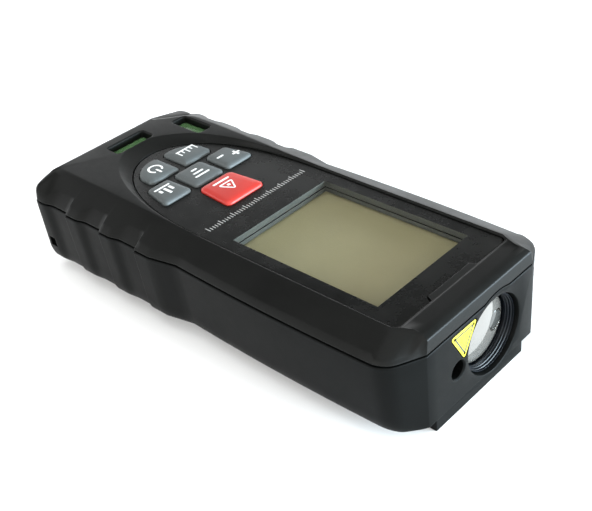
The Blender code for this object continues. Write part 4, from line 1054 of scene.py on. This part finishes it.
def build_optics():
    """Lens, near-field lens, barrel, ring, laser window and the sticker."""
    centre = (LENS_X, LENS_Z)
    barrel_front = NOSE_INSIDE_Y - GAP
    profile = [(BARREL_REAR_Y, BARREL_RADIUS), (barrel_front, BARREL_RADIUS), (barrel_front, 8.7),
               (50.7, 8.6), (50.7, 7.4), (BARREL_REAR_Y, 7.4)]
    piece(solid("barrel_tube", tube, profile, "y", centre), barrel, "meter", "lens_barrel")
    piece(solid("retaining_ring", tube, RING_PROFILE, "y", centre), barrel, "meter", "lens_ring")

    profile = [(51.0, LENS_RADIUS - 0.2), (51.2, LENS_RADIUS), (LENS_EDGE_Y, LENS_RADIUS)]
    for k in range(1, DOME_STEPS):
        angle = math.radians(90 * (1 - k / DOME_STEPS))
        profile.append((LENS_EDGE_Y + LENS_BULGE * math.cos(angle), LENS_RADIUS * math.sin(angle)))
    profile.append((LENS_EDGE_Y + LENS_BULGE * math.cos(0.0), LENS_FLAT))
    lens = solid("front_lens", turned, profile, "y", centre, ROUND_SEGMENTS, sharp=LENS_SHARP)
    carve(lens, [(CUT, turned, [(53.4, 2.6), (57.0, 2.6)], "y", NEAR_LENS)], LENS_SHARP)
    piece(lens, lens_glass, "meter", "receive_lens")
    profile = [(53.7, 2.3), (55.25, 2.3), (55.5, 2.15), (55.6, 1.9)]
    piece(solid("near_lens", turned, profile, "y", NEAR_LENS), near_glass, "meter", "near_field_lens")
    profile = [(NOSE_INSIDE_Y - 2.0, 2.9), (NOSE_INSIDE_Y - GAP, 2.9)]
    aperture = solid("aperture_window", turned, profile, "y", (LASER_X, LASER_Z))
    piece(aperture, barrel, "meter", "laser_window")

    face = FRONT_Y - 0.04
    steps = ((0.0, FRONT_Y - LABEL_SEAT + GAP), (0.0, FRONT_Y - 0.08), (-0.05, face))
    piece(solid("plain_sticker", loft, label_rings(steps)), yellow, "meter", "nose_label")
    low, high = face + PRINT_GAP, FRONT_Y - 0.02
    steps = ((-0.62, low), (-0.62, high), (-1.0, high), (-1.0, low))
    piece(solid("sticker_border", bridge, label_rings(steps), True), yellow_dark, "meter")


# ---- underside and rear

def build_vial_windows():
    """Tinted domed window over each spirit level, under its slot."""
    for name, centre, slot in (("cross_vial_window", CROSS_VIAL, CROSS_SLOT),
                                 ("long_vial_window", LONG_VIAL, LONG_SLOT)):
        outline = rounded(rectangle(*map(span, centre, (half - 0.15 for half in slot))), 0.7)
        bottom, edge, top = VIAL_WINDOW_Z
        layers = [(outline, bottom), (outline, edge),
                  (drawn_in(outline, 0.3), edge + 0.75 * (top - edge)), (drawn_in(outline, 0.9), top)]
        piece(solid(name, stack, layers), vial_clear, "meter")


def grooves(bm, first_y, low):
    """Three grip grooves across the battery cover."""
    for k in range(3):
        y = first_y + 2.0 * k
        loft(bm, [[(sx * (6.0 - t), y + 0.4 + sy * (0.4 - t), z)
                   for sx, sy in ((-1, -1), (1, -1), (1, 1), (-1, 1))]
                  for t, z in ((0.0, low - 1.0), (0.0, low + 0.1), (0.2, low + 0.4))])


def build_cover():
    """Battery cover with a thumb recess and grip grooves."""
    rear, (low, high) = COVER_Y[0], COVER_Z
    edge = rounded(rectangle(span(0.0, COVER_HALF), COVER_Y), 1.2)
    layers = [(grown(edge, -COVER_BREAK), low), (edge, low + COVER_BREAK), (edge, high)]
    cover = solid("cover_plate", stack, layers)
    thumb = [(low - 1.0, 4.3), (low, 4.0), (low + 0.6, 3.2)]
    carve(cover, [(CUT, turned, thumb, "z", (0.0, rear + 5.5), 64), (CUT, grooves, rear + 13.0, low)])
    piece(cover, black, "battery_cover", "battery_cover")


def build_screws():
    """Four cross-head screws with a rounded head."""
    head, shank, rim = SCREW_SEAT_Z - GAP, 0.95, 1.75
    profile = [(head - 1.8, 0.8), (head - 1.75, 1.2), (head - 1.5, 1.6), (head - 1.2, rim), (head, rim),
               (head, shank), (SCREW_TIP_Z - 0.5, shank), (SCREW_TIP_Z, 0.5)]
    for index, place in enumerate(screw_places(), 1):
        screw = solid("screw_%d" % index, turned, profile, "z", place, 40)
        carve(screw, [(CUT, box, *map(span, place, halves), (head - 3.0, head - 1.1))
                      for halves in ((1.0, 0.2), (0.2, 1.0))])
        piece(screw, steel, "meter", "housing_screw_%d" % index)


CARRIED = (
    (lcd, ("lcd_glass",)), (white, ("lcd_light_guide", "lcd_tray")), (rubber, ("lcd_contact_strip",)),
    (board, ("main_board", "detector_board")), (chip, ("processor_chip", "buzzer")),
    (steel, ("light_detector", "front_contact", "rear_contact_left", "rear_contact_right",
             "contact_spring_left", "contact_spring_right")),
    (aluminium, ("optics_block",)), (brass, ("laser_module",)),
    (cell_wrap, ("battery_left", "battery_right")), (vial_clear, ("cross_vial_tube", "long_vial_tube")),
    (dark, ("cross_vial_plug", "long_vial_plug")),
    (vial_green, ("cross_vial_fluid", "long_vial_fluid")),
    (bubble_clear, ("cross_vial_bubble", "long_vial_bubble")),
)


def dress_frame():
    """Give each carried-over CAD node its own procedural material."""
    finishes = {name: finish for finish, names in CARRIED for name in names}
    for name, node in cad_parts.items():
        finish = steel if name.startswith("dome_") else finishes.get(name)
        if finish:
            node.data.materials.clear()
            node.data.materials.append(finish)


# ---- floor, light, camera

def build_floor():
    """Plain pale floor."""
    floor = solid("floor", box, span(0.0, FLOOR_HALF), span(0.0, FLOOR_HALF), (-2.0, 0.0))
    made, tree, shader, place = new_tree("floor_paper")
    cloud = noise(tree, place, 0.004, 2.0)
    base = blend_colour(tree, spread(tree, cloud, 0.0, 1.0), (0.925, 0.925, 0.925), (0.94, 0.94, 0.938))
    put(tree, shader, {"Base Color": base, "Roughness": spread(tree, cloud, 0.85, 0.95),
                       "Specular IOR Level": 0.1})
    floor.data.materials.append(made)


def build_front_box():
    """Low area light ahead of the nose; lengths in metres."""
    lamp = bpy.data.lights.new("front_box", "AREA")
    lamp.shape = "RECTANGLE"
    lamp.size, lamp.size_y = FRONT_SIZE
    lamp.energy = FRONT_POWER
    lamp.color = FRONT_TINT
    made = linked("front_box", lamp)
    made.location = FRONT_PLACE
    aim = Vector(FRONT_AIM) - Vector(FRONT_PLACE)
    made.rotation_euler = aim.to_track_quat("-Z", "Y").to_euler()


def level_ramp(tree, height, levels, tint):
    """Brightness of the surroundings against height; levels are (height, brightness)."""
    ramp = add(tree, "ShaderNodeValToRGB", {0: height})
    stops = ramp.color_ramp.elements
    while len(stops) < len(levels):
        stops.new(0.5)
    for stop, (position, _) in zip(stops, levels):
        stop.position = position
    for stop, (_, level) in zip(stops, levels):
        stop.color = (*[level * c for c in tint], 1)
    return ramp.outputs[0]


def build_light():
    """Soft surroundings, dark between the low band and the zenith, and a low box by the nose."""
    world = bpy.data.worlds.new("studio")
    bpy.context.scene.world = world
    world.use_nodes = True
    tree = world.node_tree
    direction = add(tree, "ShaderNodeTexCoord").outputs["Generated"]
    height = add(tree, "ShaderNodeSeparateXYZ", {0: direction}).outputs["Z"]
    far = level_ramp(tree, height, FAR_LEVELS, (0.98, 1.0, 1.01))
    near = level_ramp(tree, height, NEAR_LEVELS, (1.0, 1.0, 0.985))
    ahead = add(tree, "ShaderNodeVectorMath", {0: direction, 1: NEAR_SIDE},
                operation="DOT_PRODUCT").outputs["Value"]
    share = add(tree, "ShaderNodeMapRange",
                {"Value": ahead, "From Min": NEAR_SHARE[0], "From Max": NEAR_SHARE[1]},
                interpolation_type="SMOOTHSTEP").outputs[0]
    put(tree, tree.nodes["Background"], {
        "Color": blend_colour(tree, share, far, near), "Strength": WORLD_STRENGTH})
    build_front_box()


def build_camera():
    """Camera at the viewing angle of the order's picture."""
    lens = bpy.data.cameras.new("camera")
    lens.lens = CAMERA_LENS
    lens.sensor_width = 36.0
    lens.shift_x, lens.shift_y = CAMERA_SHIFT
    lens.clip_start = 0.01
    made = linked("camera", lens)
    made.location = CAMERA_PLACE
    made.rotation_euler = [math.radians(angle) for angle in CAMERA_TURN]
    bpy.context.scene.camera = made


for build_part in (build_rear_shell, build_front_shell, build_keys, build_panel, build_optics,
                   build_vial_windows, build_cover, build_screws, dress_frame, build_floor,
                   build_light, build_camera):
    build_part()
bpy.context.scene.view_settings.view_transform = "Standard"
